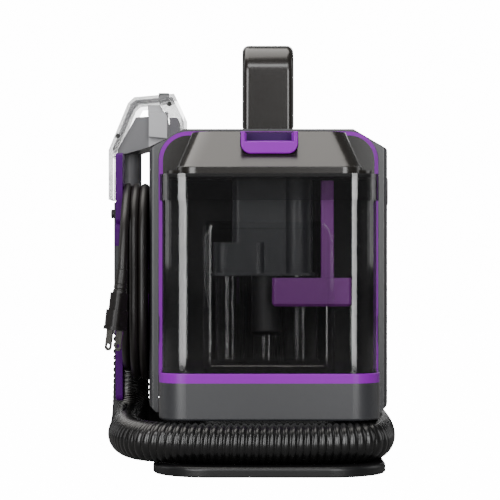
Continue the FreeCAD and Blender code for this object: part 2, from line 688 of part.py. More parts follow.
# ---------------------------------------------------------------- suction motor, fan and pump
MOTOR_BASE = plus(DECK, "14")
MOTOR_TOP = plus(MOTOR_BASE, "84")
FAN_TOP = plus(MOTOR_TOP, "34")
MOTOR_PLACE = "12"
add(chassis, "XY", minus(MOTOR_BASE, "4"), MOTOR_BASE,
    middle("2*motor_radius + 24", "-motor_radius", "motor_radius + 24", "8"))
for sx in (-1, 1):
    for along in ("-motor_radius + 9", "motor_radius + 15"):
        add(chassis, "XY", DECK, minus(MOTOR_BASE, "4"), circle(f"{sx}*(motor_radius + 3)", along, "6"))
motor = new_body("suction_motor")
add(motor, "XY", MOTOR_BASE, minus(MOTOR_TOP, "0.2"), circle("0", MOTOR_PLACE, "motor_radius"))
ease(motor, "Fillet", "6", lies_at("Z", MOTOR_BASE))
remove(motor, "XY", minus(MOTOR_TOP, "12"), MOTOR_TOP, circle("0", MOTOR_PLACE, "4.05"))
fan_house = new_body("fan_housing")
add(fan_house, "XY", MOTOR_TOP, FAN_TOP, circle("0", MOTOR_PLACE, "fan_radius"))
ease(fan_house, "Fillet", "5", lies_at("Z", FAN_TOP))
remove(fan_house, "XY", plus(MOTOR_TOP, "3"), minus(FAN_TOP, "3"), circle("0", MOTOR_PLACE, "fan_radius - 3"))
remove(fan_house, "XY", minus(FAN_TOP, "3"), FAN_TOP, circle("0", MOTOR_PLACE, "16"))
remove(fan_house, "XY", MOTOR_TOP, plus(MOTOR_TOP, "3"), circle("0", MOTOR_PLACE, "4.5"))
remove(fan_house, "YZ", "fan_radius - 12", "fan_radius + 1",
       rect("-8", "32", plus(MOTOR_TOP, "6"), minus(FAN_TOP, "8"), "3"))

# A closed two-plate impeller on the motor's shaft.
impeller = new_body("impeller")
disc_low, disc_high = plus(MOTOR_TOP, "6"), minus(FAN_TOP, "7")
add(impeller, "XY", disc_low, plus(disc_low, "2"), circle("0", MOTOR_PLACE, "fan_radius - 9"))
add(impeller, "XY", plus(disc_low, "2"), disc_high, circle("0", MOTOR_PLACE, "10"))
BLADES = 9
blade = new_sketch(impeller, "XY", plus(disc_low, "2"), disc_high)
blade.setExpression("AttachmentOffset.Base.y", bound(MOTOR_PLACE))
draw_polygon(blade, ("9", "-1"), ("fan_radius - 10", "4"), ("fan_radius - 10", "6"), ("9", "1"))
blade_pad = impeller.newObject("PartDesign::Pad", "impeller_blade")
blade_pad.Profile = blade
blade_pad.setExpression("Length", bound(minus(disc_high, disc_low, "2")))
doc.recompute()
blades = impeller.newObject("PartDesign::PolarPattern", "impeller_blades")
blades.Originals = [blade_pad]
blades.Axis = (blade, ["N_Axis"])
blades.Angle = 360
blades.Occurrences = BLADES
impeller.Tip = blades
doc.recompute()
add(impeller, "XY", minus(MOTOR_TOP, "10"), disc_low, circle("0", MOTOR_PLACE, "4"))

pump = new_body("water_pump")
PUMP_BOX = ("-86", "-54", "body_rear - 52", "body_rear - 12")
add(pump, "XY", DECK, plus(DECK, "30"), rect(*PUMP_BOX, "4"))
add(pump, "XY", plus(DECK, "30"), plus(DECK, "44"), circle("-70", "body_rear - 32", "12"))
add(pump, "XZ", "body_rear - 12", "body_rear - 5", circle("-70", plus(DECK, "12"), "4"))

duct_end = V(0, number(MOTOR_PLACE), number(FAN_TOP))
port_height = number(PORT_HEIGHT)
duct_start = number(plus(ARCH_REAR, "3.2"))
duct_route = [V(-38, duct_start, port_height), V(-38, -40, port_height), V(0, duct_end.y, port_height),
              duct_end]
duct, _, _ = tube(duct_route, 11, 9)
shape_part("suction_duct", duct)

pipe_side, pipe_place = (number(t) for t in DIRTY_PIPE)
hose_height, hose_side = number(HOSE_HEIGHT), number(HOSE_SIDE)
port_place = number(PORT_PLACE)
pipe_route = [V(pipe_side, duct_start, port_height), V(pipe_side, pipe_place, port_height),
              V(pipe_side, pipe_place, hose_height), V(-20, port_place, hose_height),
              V(-number("neck_width") / 2 + 0.2, port_place, hose_height)]
pipe, _, _ = tube(pipe_route, 10.8, 9, radii={1: 14, 2: 24, 3: 30})
shape_part("dirty_water_pipe", pipe)

# ---------------------------------------------------------------- dirty-water tank
tank = new_body("dirty_tank")
inner_width = "tank_width - 2*tank_wall"
add(tank, "XY", TANK_BASE, "tank_top", middle("tank_width", TANK_FRONT, TANK_REAR, "tank_corner"))
remove(tank, "XY", plus(TANK_BASE, "tank_wall"), "tank_top",
       middle(inner_width, plus(TANK_FRONT, "tank_wall"), minus(TANK_REAR, "tank_wall"),
              "tank_corner - tank_wall"))
POCKET_FRONT = minus(TANK_REAR, "18")
add(tank, "XY", TANK_BASE, "pocket_top", middle("pocket_width", POCKET_FRONT, plus(TANK_REAR, "12"), "7"))
remove(tank, "XY", TANK_BASE, "tank_top", middle("tank_width", TANK_REAR, plus(TANK_REAR, "20")))
ease(tank, "Fillet", "6", both(lies_at("Z", "pocket_top"), lambda e: span(e, "Y")[0] < number(TANK_REAR) - 3))
remove(tank, "XY", minus(TANK_BASE, "1"), minus("pocket_top", "tank_wall"),
       rect("-pocket_width/2 + tank_wall", "pocket_width/2 - tank_wall", plus(POCKET_FRONT, "tank_wall"),
            plus(TANK_REAR, "12"), "4.4"))

# ---------------------------------------------------------------- dirty tank's lid
SKIRT_LOW = minus("tank_top", "skirt_drop")
HOOD_LOW = plus("tank_top", "2.8")
skirt = new_body("lid_skirt")
skirt_inner = plus("tank_width", "0.6")
skirt_outer = plus(skirt_inner, "2*skirt_wall")
add(skirt, "XY", SKIRT_LOW, minus(HOOD_LOW, "0.1"),
    middle(skirt_outer, minus(TANK_FRONT, "0.3 + skirt_wall"), plus(TANK_REAR, "30"), "tank_corner + 1.9"))
remove(skirt, "XY", SKIRT_LOW, minus(HOOD_LOW, "0.1"),
       middle(skirt_inner, minus(TANK_FRONT, "0.3"), plus(TANK_REAR, "60"), "tank_corner + 0.3"))
remove(skirt, "XY", SKIRT_LOW, minus(HOOD_LOW, "0.1"),
       middle("tank_width + 20", TANK_REAR, plus(TANK_REAR, "70")))

seal = new_body("lid_seal")
add(seal, "XY", plus("tank_top", "0.2"), minus(HOOD_LOW, "0.1"),
    middle("tank_width - 0.6", plus(TANK_FRONT, "0.3"), minus(TANK_REAR, "0.3"), "tank_corner - 0.3"))
remove(seal, "XY", "tank_top", HOOD_LOW,
       middle("tank_width - 5.6", plus(TANK_FRONT, "2.8"), minus(TANK_REAR, "2.8"), "tank_corner - 2.8"))

# The hood: a bead, a hipped front and an arched rear that matches the coloured arch.
HOOD_TOP = plus(HOOD_LOW, "hood_height")
BEAD_TOP = plus(HOOD_LOW, "5.6")
hood = new_body("lid_hood")
HOOD_REAR = minus(TANK_REAR, "0.2")
flange = middle("tank_width - 6", plus(TANK_FRONT, "6"), HOOD_REAR, "tank_corner - 2")
add(hood, "XY", HOOD_LOW, plus(HOOD_LOW, "2.6"), flange)
bead = middle("tank_width - 22", plus(TANK_FRONT, "1"), HOOD_REAR, "tank_corner - 4")
add(hood, "XY", HOOD_LOW, BEAD_TOP, bead)
ease(hood, "Fillet", "1.2", both(lies_at("Z", BEAD_TOP)))
slope_low = middle("tank_width - 24", plus(TANK_FRONT, "3"), HOOD_REAR, "tank_corner - 4")
slope_high = middle("tank_width - 45", plus(TANK_FRONT, "33"), HOOD_REAR, "tank_corner - 2")
loft(hood, "Additive", (minus(BEAD_TOP, "0.4"), slope_low), (HOOD_TOP, slope_high))
add(hood, "XZ", minus(HOOD_REAR, "18"), HOOD_REAR,
    middle("arch_width - 2*arch_band - 1", "tank_top - 80", minus(ARCH_TOP, "arch_band + 0.6"),
           "arch_corner - arch_band"))
remove(hood, "XZ", minus(HOOD_REAR, "100"), plus(HOOD_REAR, "1"),
       middle("arch_width + 10", "tank_top - 90", HOOD_LOW))
cavity_rear = minus(HOOD_REAR, "hood_wall")
cavity_low = middle("tank_width - 30", plus(TANK_FRONT, "6.5"), cavity_rear, "tank_corner - 7")
cavity_high = middle("tank_width - 57", plus(TANK_FRONT, "36"), cavity_rear, "tank_corner - 6")
loft(hood, "Subtractive", (HOOD_LOW, cavity_low), (minus(HOOD_TOP, "hood_wall + 1"), cavity_high))
LATCH_LOW = minus(HOOD_TOP, "18.4")
LATCH_FRONT = plus(TANK_FRONT, "11")
LATCH_REAR = plus(TANK_FRONT, "40")
remove(hood, "XZ", minus(LATCH_FRONT, "8"), plus(LATCH_REAR, "1.2"),
       middle("latch_width + 1.2", minus(LATCH_LOW, "0.6"), plus(HOOD_TOP, "20"), "8.6"))
for across in ("-38", "38"):
    remove(hood, "XZ", minus(HOOD_REAR, "24"), plus(HOOD_REAR, "1"), circle(across, PORT_HEIGHT, "11.5"))
add(hood, "XY", minus(LATCH_LOW, "3"), minus(LATCH_LOW, "0.7"),
    middle("latch_width + 6", plus(LATCH_FRONT, "2"), plus(LATCH_REAR, "3"), "3"))

# The latch's pin crosses the slot.
PIN_PLACE, PIN_HEIGHT = minus(LATCH_REAR, "2.5"), minus(HOOD_TOP, "3.5")
add(hood, "YZ", "-latch_width/2 - 3", "latch_width/2 + 3", circle(PIN_PLACE, PIN_HEIGHT, "1"))

# Two small pivot studs on the lid's shoulders.
for across in ("-tank_width/2 + 2.5", "tank_width/2 - 2.5"):
    stud = circle(across, plus(HOOD_LOW, "3"), "2.4")
    add(hood, "XZ", minus(HOOD_REAR, "24"), minus(HOOD_REAR, "17"), stud)

latch = new_body("lid_latch")
add(latch, "XZ", LATCH_FRONT, LATCH_REAR, middle("latch_width", LATCH_LOW, plus(HOOD_TOP, "14"), "8"))
remove(latch, "XZ", LATCH_FRONT, LATCH_REAR,
       middle("latch_width + 2", minus(HOOD_TOP, "1"), plus(HOOD_TOP, "20")))
pull_width = "latch_width - 7"
remove(latch, "XY", plus(LATCH_LOW, "9.6"), plus(HOOD_TOP, "2"),
       middle(pull_width, minus(LATCH_FRONT, "1"), minus(LATCH_REAR, "5")))
remove(latch, "XY", plus(LATCH_LOW, "3"), plus(LATCH_LOW, "10"),
       middle(pull_width, plus(LATCH_FRONT, "4"), minus(LATCH_REAR, "5")))
ease(latch, "Fillet", "1.2", lies_at("Y", LATCH_FRONT))
remove(latch, "YZ", "-latch_width", "latch_width", circle(PIN_PLACE, PIN_HEIGHT, "1.05"))

# ---------------------------------------------------------------- separator that hangs from the lid
PLATE_HIGH = minus(HOOD_LOW, "0.1")
PLATE_LOW = minus(PLATE_HIGH, "2.4")
BLOCK_LOW = "tank_top - 76.4"
STEM = (40, 50)
separator = new_body("separator")
add(separator, "XY", PLATE_LOW, PLATE_HIGH,
    middle("tank_width - 8", plus(TANK_FRONT, "3.4"), minus(TANK_REAR, "3.4"), "tank_corner - 4"))
BLOCK_FRONT, BLOCK_REAR = plus(TANK_FRONT, "24"), plus(TANK_FRONT, "56")
add(separator, "XY", BLOCK_LOW, PLATE_LOW, rect("-29", "33", BLOCK_FRONT, BLOCK_REAR, "6"))
add(separator, "XY", BLOCK_LOW, plus(BLOCK_LOW, "26"),
    rect("-44", "0", minus(BLOCK_FRONT, "2"), minus(BLOCK_REAR, "4"), "10"))
add(separator, "XY", BLOCK_LOW, PLATE_LOW, circle("22", plus(BLOCK_FRONT, "8"), "12"))
add(separator, "XY", BLOCK_LOW, plus(BLOCK_LOW, "2"),
    rect("-46", "36", minus(BLOCK_FRONT, "4"), BLOCK_REAR, "6"))
remove(separator, "XY", PLATE_LOW, PLATE_HIGH,
       rect(str(STEM[0] - 1), str(STEM[1] + 1), plus(TANK_FRONT, "8"), plus(TANK_FRONT, "20"), "1.5"))

TUBE_PLACE = plus(TANK_FRONT, "37")
CAGE_LOW = plus(TANK_BASE, "tank_wall + 10.5")
cage = new_body("separator_cage")
add(cage, "XY", CAGE_LOW, plus(CAGE_LOW, "3"),
    rect("-44", "40", minus(TUBE_PLACE, "14"), plus(TUBE_PLACE, "14"), "5"))
CAGE_TUBES = (("-30.5", "11.5"), ("24.7", "13.2"))
for across, radius in CAGE_TUBES:
    add(cage, "XY", plus(CAGE_LOW, "3"), BLOCK_LOW, circle(across, TUBE_PLACE, radius))
    remove(cage, "XY", plus(CAGE_LOW, "4.5"), BLOCK_LOW, circle(across, TUBE_PLACE, f"{radius} - 1.8"))
add(cage, "XY", plus(CAGE_LOW, "3"), plus(CAGE_LOW, "22"), circle("-2", TUBE_PLACE, "11"))
remove(cage, "XY", plus(CAGE_LOW, "5"), plus(CAGE_LOW, "22"), circle("-2", TUBE_PLACE, "9.2"))

spout = new_body("inlet_spout")
add(spout, "XY", plus(CAGE_LOW, "25"), BLOCK_LOW, circle("-2", TUBE_PLACE, "12"))
remove(spout, "XY", plus(CAGE_LOW, "25"), BLOCK_LOW, circle("-2", TUBE_PLACE, "10"))
ease(spout, "Fillet", "0.8", both(lies_at("Z", plus(CAGE_LOW, "25"))))

swimmer = new_body("float")
add(swimmer, "XY", minus(BLOCK_LOW, "23.6"), minus(BLOCK_LOW, "1.6"),
    rect("2", "63.6", plus(TANK_FRONT, "4.4"), plus(TANK_FRONT, "18.4"), "3"))
ease(swimmer, "Chamfer", "2", lies_at("Z", minus(BLOCK_LOW, "23.6")))
add(swimmer, "XY", minus(BLOCK_LOW, "2"), "tank_top - 2.6",
    rect(str(STEM[0]), str(STEM[1]), plus(TANK_FRONT, "10"), plus(TANK_FRONT, "18"), "1"))

# ---------------------------------------------------------------- clean-water tank
clean = new_body("clean_tank")
add(clean, "XY", TANK_BASE, "tank_top", middle("tank_width", CLEAN_FRONT, CLEAN_REAR, "tank_corner"))
remove(clean, "XY", plus(TANK_BASE, "tank_wall"), "tank_top",
       middle(inner_width, plus(CLEAN_FRONT, "tank_wall"), minus(CLEAN_REAR, "tank_wall"),
              "tank_corner - tank_wall"))

cover = new_body("clean_tank_cover")
COVER_LOW = plus("tank_top", "0.1")
CAP_SEAT = plus(COVER_LOW, "24")
add(cover, "XY", COVER_LOW, plus(COVER_LOW, "5"),
    middle("tank_width - 2", plus(CLEAN_FRONT, "1"), minus(CLEAN_REAR, "1"), "tank_corner"))
ease(cover, "Fillet", "1", lies_at("Z", plus(COVER_LOW, "5")))
loft(cover, "Additive",
     (plus(COVER_LOW, "4.6"), middle("tank_width - 10", plus(CLEAN_FRONT, "3"), minus(CLEAN_REAR, "5"),
                                     "tank_corner")),
     (CAP_SEAT, middle("tank_width - 54", plus(CLEAN_FRONT, "4"), minus(CLEAN_REAR, "26"),
                       "tank_corner - 6")))
loft(cover, "Subtractive",
     (COVER_LOW, middle("tank_width - 16", plus(CLEAN_FRONT, "7"), minus(CLEAN_REAR, "9"),
                        "tank_corner - 3")),
     (minus(CAP_SEAT, "3"),
      middle("tank_width - 60", plus(CLEAN_FRONT, "8"), minus(CLEAN_REAR, "30"), "tank_corner - 9")))
CAP_PLACE = plus(CLEAN_FRONT, "31")
remove(cover, "XY", minus(CAP_SEAT, "4"), CAP_SEAT, circle("0", CAP_PLACE, "18"))
cap = new_body("fill_cap")
add(cap, "XY", plus(CAP_SEAT, "0.3"), plus(CAP_SEAT, "5"), circle("0", CAP_PLACE, "22"))
ease(cap, "Fillet", "1.6", lies_at("Z", plus(CAP_SEAT, "5")))
add(cap, "XY", plus(CAP_SEAT, "0.3"), plus(CAP_SEAT, "4"),
    rect("-6", "6", plus(CAP_PLACE, "18"), plus(CAP_PLACE, "27"), "2"))
add(cap, "XY", minus(CAP_SEAT, "3"), plus(CAP_SEAT, "0.5"), circle("0", CAP_PLACE, "15.5"))
for side in (-1, 1):
    ends = sorted([f"{side}*6.4", f"{side}*10.4"], key=number)
    add(cover, "XY", minus(CAP_SEAT, "2"), plus(CAP_SEAT, "6"),
        rect(*ends, plus(CAP_PLACE, "23"), plus(CAP_PLACE, "28")))

valve = new_body("tank_valve")
add(valve, "XY", minus(TANK_BASE, "4"), plus(TANK_BASE, "tank_wall + 6"), circle("0", VALVE_PLACE, "3.4"))
add(valve, "XY", plus(TANK_BASE, "tank_wall + 0.3"), plus(TANK_BASE, "tank_wall + 2.4"),
    circle("0", VALVE_PLACE, "8"))
add(clean, "XY", plus(TANK_BASE, "tank_wall - 0.5"), plus(TANK_BASE, "tank_wall + 18"),
    circle("0", VALVE_PLACE, "11"))
remove(clean, "XY", plus(TANK_BASE, "tank_wall"), plus(TANK_BASE, "tank_wall + 16"),
       circle("0", VALVE_PLACE, "9"))
remove(clean, "XY", TANK_BASE, plus(TANK_BASE, "tank_wall"), circle("0", VALVE_PLACE, "5"))
add(chassis, "XY", minus(DECK, "8"), plus(DECK, "0.4"), circle("0", VALVE_PLACE, "9.2"))
remove(chassis, "XY", minus(DECK, "5"), plus(DECK, "0.4"), circle("0", VALVE_PLACE, "6"))

# ---------------------------------------------------------------- cord hooks, their screws and the cord
SADDLE = "hook_radius"


def cord_hook(label, pivot, reach, up):
    """A disc on the body, a half-round saddle that the cord lies on, and a tongue that keeps it there."""
    hook = new_body(label)
    tongue_out = minus(COIL_OUTER, "0.5 + tongue_thick")
    tongue_in = minus(COIL_OUTER, "0.5")
    far = plus(pivot, f"{up}*({reach})")
    near = plus(pivot, f"{up}*(hook_radius - 6)")
    low, high = (near, far) if up > 0 else (far, near)
    across = ("hook_place - tongue_width/2", "hook_place + tongue_width/2")
    add(hook, "YZ", tongue_out, tongue_in, rect(*across, low, high, "5"))
    ease(hook, "Fillet", "1.4", lies_at("X", tongue_out))
    add(hook, "YZ", tongue_out, HOOK_FACE, circle("hook_place", pivot, SADDLE))
    cut_low, cut_high = (minus(pivot, "60"), minus(pivot, "2")) if up > 0 else (plus(pivot, "2"),
                                                                                plus(pivot, "60"))
    side = rect("hook_place - 40", "hook_place + 40", cut_low, cut_high)
    remove(hook, "YZ", minus(tongue_out, "1"), minus(HOOK_FACE, "3"), side)
    remove(hook, "YZ", minus(tongue_out, "1"), minus(HOOK_FACE, "3"),
           circle("hook_place", pivot, minus(SADDLE, "3")))
    remove(hook, "YZ", minus(HOOK_FACE, "4"), HOOK_FACE, circle("hook_place", pivot, "screw_radius + 0.08"))
    return hook


cord_hook("cord_hook_upper", "upper_hook", "tongue_reach", 1)
lower = cord_hook("cord_hook_lower", "lower_hook", "lower_reach", -1)
remove(lower, "YZ", minus(HOOK_FACE, "4"), HOOK_FACE,
       rect("hook_place + 11.5", "hook_place + 40", "lower_hook + 2", "lower_hook + 40"))
hook_screws = []
for k, height in enumerate(("lower_hook", "upper_hook")):
    at = ("hook_place", height)
    shank = cylinder_part(f"hook_shank_{k}", "screw_radius", "14", (minus(HOOK_FACE, "4"), *at), "X")
    head = cylinder_part(f"hook_head_{k}", "4.5", "2.6", (minus(HOOK_FACE, "5.8"), *at), "X")
    hook_screws.append(fused(f"hook_screw_{k}", [shank, head]))
joined("hook_screws", hook_screws)

# The wound cord: a race-track coil round both hooks, one closed solid of its outer shape.
coil = new_body("cord_coil")
outer = plus(COIL_RADIUS, "cord_turns*cord_pitch")
for feature, radius in ((add, outer), (remove, COIL_RADIUS)):
    feature(coil, "YZ", COIL_OUTER, COIL_FACE, rect(
        minus("hook_place", radius), plus("hook_place", radius),
        minus("lower_hook", radius), plus("upper_hook", radius), minus(radius, "0.01")))
ease(coil, "Fillet", "2.4", either(
    both(lies_at("X", COIL_OUTER), lambda e: True), lies_at("X", COIL_FACE)))

# The gland: a cowl on the shell that turns the cord upwards, with a tapered strain relief.
LAYER_ONE = minus(COIL_FACE, "cord_pitch/2")
cowl = new_body("cord_gland")
cowl_low, cowl_high = "lower_hook + 2.4", "lower_hook + 13"
COWL_OUTER = minus(LAYER_ONE, "8.6")
cowl_front, cowl_rear = minus(GLAND_PLACE, "4.6"), plus(GLAND_PLACE, "4.6")
add(cowl, "XY", cowl_low, cowl_high, rect(COWL_OUTER, minus(WALL_LEFT, "0.1"), cowl_front, cowl_rear))
ease(cowl, "Fillet", "2", either(runs_along("Z", X=COWL_OUTER, Y=cowl_front),
                                 runs_along("Z", X=COWL_OUTER, Y=cowl_rear)))
LEAD_SIDE = minus(LAYER_ONE, "3.6")
relief_high = plus(cowl_high, "20")
relief = doc.addObject("Part::Cone", "strain_relief")
relief.Label = "strain_relief"
relief.setExpression("Radius1", bound("cord_diameter/2 + 1"))
relief.setExpression("Radius2", bound("cord_diameter/2 + 0.3"))
relief.setExpression("Height", bound("20"))
for letter, place in zip("xyz", (LEAD_SIDE, GLAND_PLACE, cowl_high)):
    relief.setExpression(f"Placement.Base.{letter}", bound(place))

hook_y, top_pivot = number("hook_place"), number("upper_hook")
lead_x, gland_y = number(LEAD_SIDE), number(GLAND_PLACE)
lead_low = number(relief_high)
turn_one = number(COIL_RADIUS) + number("cord_pitch") / 2
lead_route = [V(lead_x, gland_y, lead_low), V(lead_x, gland_y, lead_low + 10),
              V(lead_x, hook_y + turn_one, lead_low + 22.6), V(lead_x, hook_y + turn_one, lead_low + 46)]
lead, lead_length, _ = tube(lead_route, number("cord_diameter") / 2)
shape_part("cord_lead", lead)

# The cord's loose end leaves the outermost turn at the front and ends in the plug.
outer_turn = number(COIL_RADIUS) + (number("cord_turns") - 0.5) * number("cord_pitch")
tail_x = number(COIL_OUTER) + number("cord_pitch") / 2
tail_y = hook_y - outer_turn


def on_outer_turn(degrees):
    """A point on the outermost turn, counted forwards from its top."""
    turn = math.radians(degrees)
    return V(tail_x, hook_y - outer_turn * math.sin(turn), top_pivot + outer_turn * math.cos(turn))


PLUG_TOP = V(tail_x - 1.4, tail_y - 15.2, top_pivot - 21)
tail_route = [on_outer_turn(19), on_outer_turn(40), V(tail_x - 0.1, tail_y - 13.8, top_pivot + 10.2),
              PLUG_TOP]
tail, tail_length, _ = tube(tail_route, number("cord_diameter") / 2)
shape_part("cord_tail", tail)

# The plug hangs a little tilted. It is built about its own axis, pointing down, and then placed.
PLUG_TILT = 6.5
PLUG_TURN = 55
PLUG_SPREAD = 12.7
BLADE_THICK = 1.5
BLADE_WIDE = 6.3
BLADE_LONG = 17
PLUG_LONG = 49


def rounded_block(wide, deep, top, bottom, corner):
    block = Part.makeBox(wide, deep, top - bottom, V(-wide / 2, -deep / 2, bottom))
    return block.makeFillet(corner, [e for e in block.Edges if e.BoundBox.ZLength > (top - bottom) / 2])


def plug_shape():
    sleeve = Part.makeCone(4.4, 5.6, 20, V(0, 0, 0), V(0, 0, -1))
    for k in range(4):
        sleeve = sleeve.cut(Part.makeTorus(5.9, 1.1, V(0, 0, -4 - 4 * k)))
    blocks = [rounded_block(14, 11, -19, -34, 3.5), rounded_block(18, 13.5, -33, -47, 4.5),
              rounded_block(20, 15, -46, -PLUG_LONG, 6)]
    return sleeve.multiFuse(blocks).removeSplitter()


def blade_shape(across):
    thick, half = BLADE_THICK, BLADE_WIDE / 2
    low = -PLUG_LONG - BLADE_LONG
    flat = Part.makeBox(thick, BLADE_WIDE, BLADE_LONG - half, V(across - thick / 2, -half, low + half))
    tip = Part.makeCylinder(half, thick, V(across - thick / 2, 0, low + half), V(1, 0, 0))
    hole = Part.makeCylinder(1.6, 3 * thick, V(across - 1.5 * thick, 0, low + 4), V(1, 0, 0))
    return flat.fuse(tip).cut(hole).removeSplitter()


PLUG_TURNED = FreeCAD.Rotation(V(0, 1, 0), PLUG_TILT).multiply(FreeCAD.Rotation(V(0, 0, 1), PLUG_TURN))
PLUG_PLACE = FreeCAD.Placement(PLUG_TOP, PLUG_TURNED)
shape_part("plug_body", plug_shape()).Placement = PLUG_PLACE
blades_shape = Part.makeCompound([blade_shape(-PLUG_SPREAD / 2), blade_shape(PLUG_SPREAD / 2)])
shape_part("plug_blades", blades_shape).Placement = PLUG_PLACE

# ---------------------------------------------------------------- hose port, hose and cuff
port = new_body("hose_port")
port_out = minus(neg(HOSE_SIDE), "17")
add(port, "XZ", "port_front", plus("port_front", "port_depth"),
    rect(port_out, "-neck_width/2", "plate_thick + 0.2", plus(CHASSIS_BASE, "-0.2"), "1"))
remove(port, "XZ", "port_front + 5", plus("port_front", "port_depth"),
       circle(neg(HOSE_SIDE), HOSE_HEIGHT, "12.5"))
remove(port, "YZ", neg(HOSE_SIDE), "-neck_width/2", circle(PORT_PLACE, HOSE_HEIGHT, "9"))

wand_x, wand_y = number("wand_side"), number("wand_place")
cuff_low = number(minus("grip_bottom", "cuff_length"))
hose_front = -(number("neck_length") / 2 + number("hose_diameter") / 2 + 0.3)
bend = 30
hose_route = [
    V(-hose_side, number(plus("port_front", "port_depth")), hose_height),
    V(-hose_side, -hose_front - bend, hose_height),
    V(-hose_side + bend, -hose_front, hose_height),
    V(hose_side - bend, -hose_front, hose_height),
    V(hose_side, -hose_front - bend, hose_height),
    V(hose_side, hose_front + bend, hose_height),
    V(hose_side - bend, hose_front, hose_height),
    V(-hose_side + bend - 16, hose_front, hose_height),
    V(wand_x + 5, hose_front + bend + 9, hose_height),
    V(wand_x + 2, wand_y - 44, hose_height),
    V(wand_x, wand_y, hose_height + 34),
    V(wand_x, wand_y, cuff_low),
]
hose, hose_length, hose_bend = tube(hose_route, number("hose_diameter") / 2,
                                    number("hose_diameter") / 2 - 1.8)
shape_part("suction_hose", hose)

cuff = new_body("hose_cuff")
add(cuff, "XY", minus("grip_bottom", "cuff_length"), "grip_bottom", circle("wand_side", "wand_place", "17"))
ease(cuff, "Fillet", "2", lies_at("Z", minus("grip_bottom", "cuff_length")))
remove(cuff, "XY", minus("grip_bottom", "cuff_length"), "grip_bottom",
       circle("wand_side", "wand_place", "11"))

# ---------------------------------------------------------------- hand tool: grip, trigger, button
GRIP_REAR = plus("wand_place", "grip_radius")
grip = new_body("tool_grip")
add(grip, "XY", "grip_bottom", "grip_top", circle("wand_side", "wand_place", "grip_radius"))
add(grip, "XY", "grip_top", plus("grip_top", "7"), circle("wand_side", "wand_place", "11.6"))
SLOT_LOW, SLOT_HIGH = "grip_top - 66", "grip_top - 8"
remove(grip, "XY", SLOT_LOW, SLOT_HIGH,
       rect("wand_side - 5", "wand_side + 5", minus(GRIP_REAR, "4.5"), plus(GRIP_REAR, "2")))
remove(grip, "XY", "grip_bottom", plus("grip_top", "8"), circle("wand_side", "wand_place", "9.6"))
RELEASE_HEIGHT = "grip_top - 10"
remove(grip, "YZ", "wand_side - grip_radius - 1", "wand_side - 9",
       circle("wand_place", RELEASE_HEIGHT, "4.4"))

trigger = new_body("spray_trigger")
add(trigger, "YZ", "wand_side - 4.5", "wand_side + 4.5", polygon(
    (minus(GRIP_REAR, "1.5"), "grip_top - 10"), (plus(GRIP_REAR, "3"), "grip_top - 12"),
    (plus(GRIP_REAR, "9"), "grip_top - 44"), (plus(GRIP_REAR, "10.5"), "grip_top - 64"),
    (plus(GRIP_REAR, "6.5"), "grip_top - 64"), (plus(GRIP_REAR, "4"), "grip_top - 44"),
    (minus(GRIP_REAR, "1.5"), "grip_top - 16")))
ease(trigger, "Fillet", "1.2", either(lies_at("X", "wand_side - 4.5"), lies_at("X", "wand_side + 4.5")))
add(trigger, "YZ", "wand_side - 4.5", "wand_side + 4.5",
    circle(minus(GRIP_REAR, "2"), "grip_top - 13", "2.2"))

release = new_body("tool_release_button")
add(release, "YZ", "wand_side - grip_radius - 2.6", "wand_side - 11",
    circle("wand_place", RELEASE_HEIGHT, "4"))
ease(release, "Fillet", "1.2", lies_at("X", "wand_side - grip_radius - 2.6"))

# ---------------------------------------------------------------- hand tool: nozzle head
HEAD_REAR = "head_front + head_width"
HEAD_LOW = "grip_top + 1.5"


def head_point(across, down):
    """A corner of the head's profile: right of the wand's axis, below the head's top."""
    return (plus("wand_side", across), minus("head_top", down))


head = new_body("tool_head")
add(head, "XZ", plus("head_front", "10"), minus(HEAD_REAR, "1"), polygon(
    head_point("-9.6", "47"), head_point("-9.6", "50.5"), head_point("-1.8", "50.5"),
    head_point("16.9", "45"), head_point("31", "38"), head_point("31", "18"), head_point("6", "19.5")))
add(head, "XZ", plus("head_front", "5"), minus(HEAD_REAR, "6"), polygon(
    head_point("16.5", "18.5"), head_point("31", "18.5"), head_point("27", "9.5"), head_point("16.5", "9.5")))
add(head, "XZ", plus("head_front", "1"), plus("head_front", "20"), polygon(
    head_point("17.3", "15.6"), head_point("31", "15.6"), head_point("31", "38"), head_point("17.3", "36.8")))
add(head, "XZ", plus("head_front", "1"), plus("head_front", "4.9"), polygon(
    head_point("30", "15.6"), head_point("33.8", "15.6"), head_point("33.8", "38.4"), head_point("30", "38")))
ease(head, "Fillet", "1", lies_at("Y", plus("head_front", "1")))
add(head, "XY", plus("grip_top", "-5"), minus("head_top", "49"), circle("wand_side", "wand_place", "9.2"))
remove(head, "XY", plus("grip_top", "-5"), minus("head_top", "40"), circle("wand_side", "wand_place", "7.4"))

window = new_body("tool_window")
outer_profile = [
    head_point("-16.7", "90"), head_point("-16.7", "48"), head_point("-0.2", "8"), head_point("5", "3"),
    head_point("39", "0"), head_point("47.5", "18.5"), head_point("47.5", "30.5")]
inner_profile = [
    head_point("44.9", "30.5"), head_point("44.9", "19"), head_point("37.3", "2.8"), head_point("6", "5.6"),
    head_point("2", "9.2"), head_point("-13.4", "47.4"), head_point("-11.6", "52"), head_point("-12.2", "90")]
add(window, "XZ", "head_front", HEAD_REAR, polygon(*outer_profile, *inner_profile))
for end in ("head_front", minus(HEAD_REAR, "0.9")):
    add(window, "XZ", end, plus(end, "0.9"), polygon(
        *outer_profile[1:], head_point("33", "39.5"), head_point("33", "19"), head_point("26", "7.6"),
        head_point("8", "8.4"), head_point("-12", "48")))
beside_tongue = rect("wand_side - 20", "wand_side - 10.9", "grip_top", minus("head_top", "52"))
remove(window, "XZ", "wand_place + 13", plus(HEAD_REAR, "1"), beside_tongue)

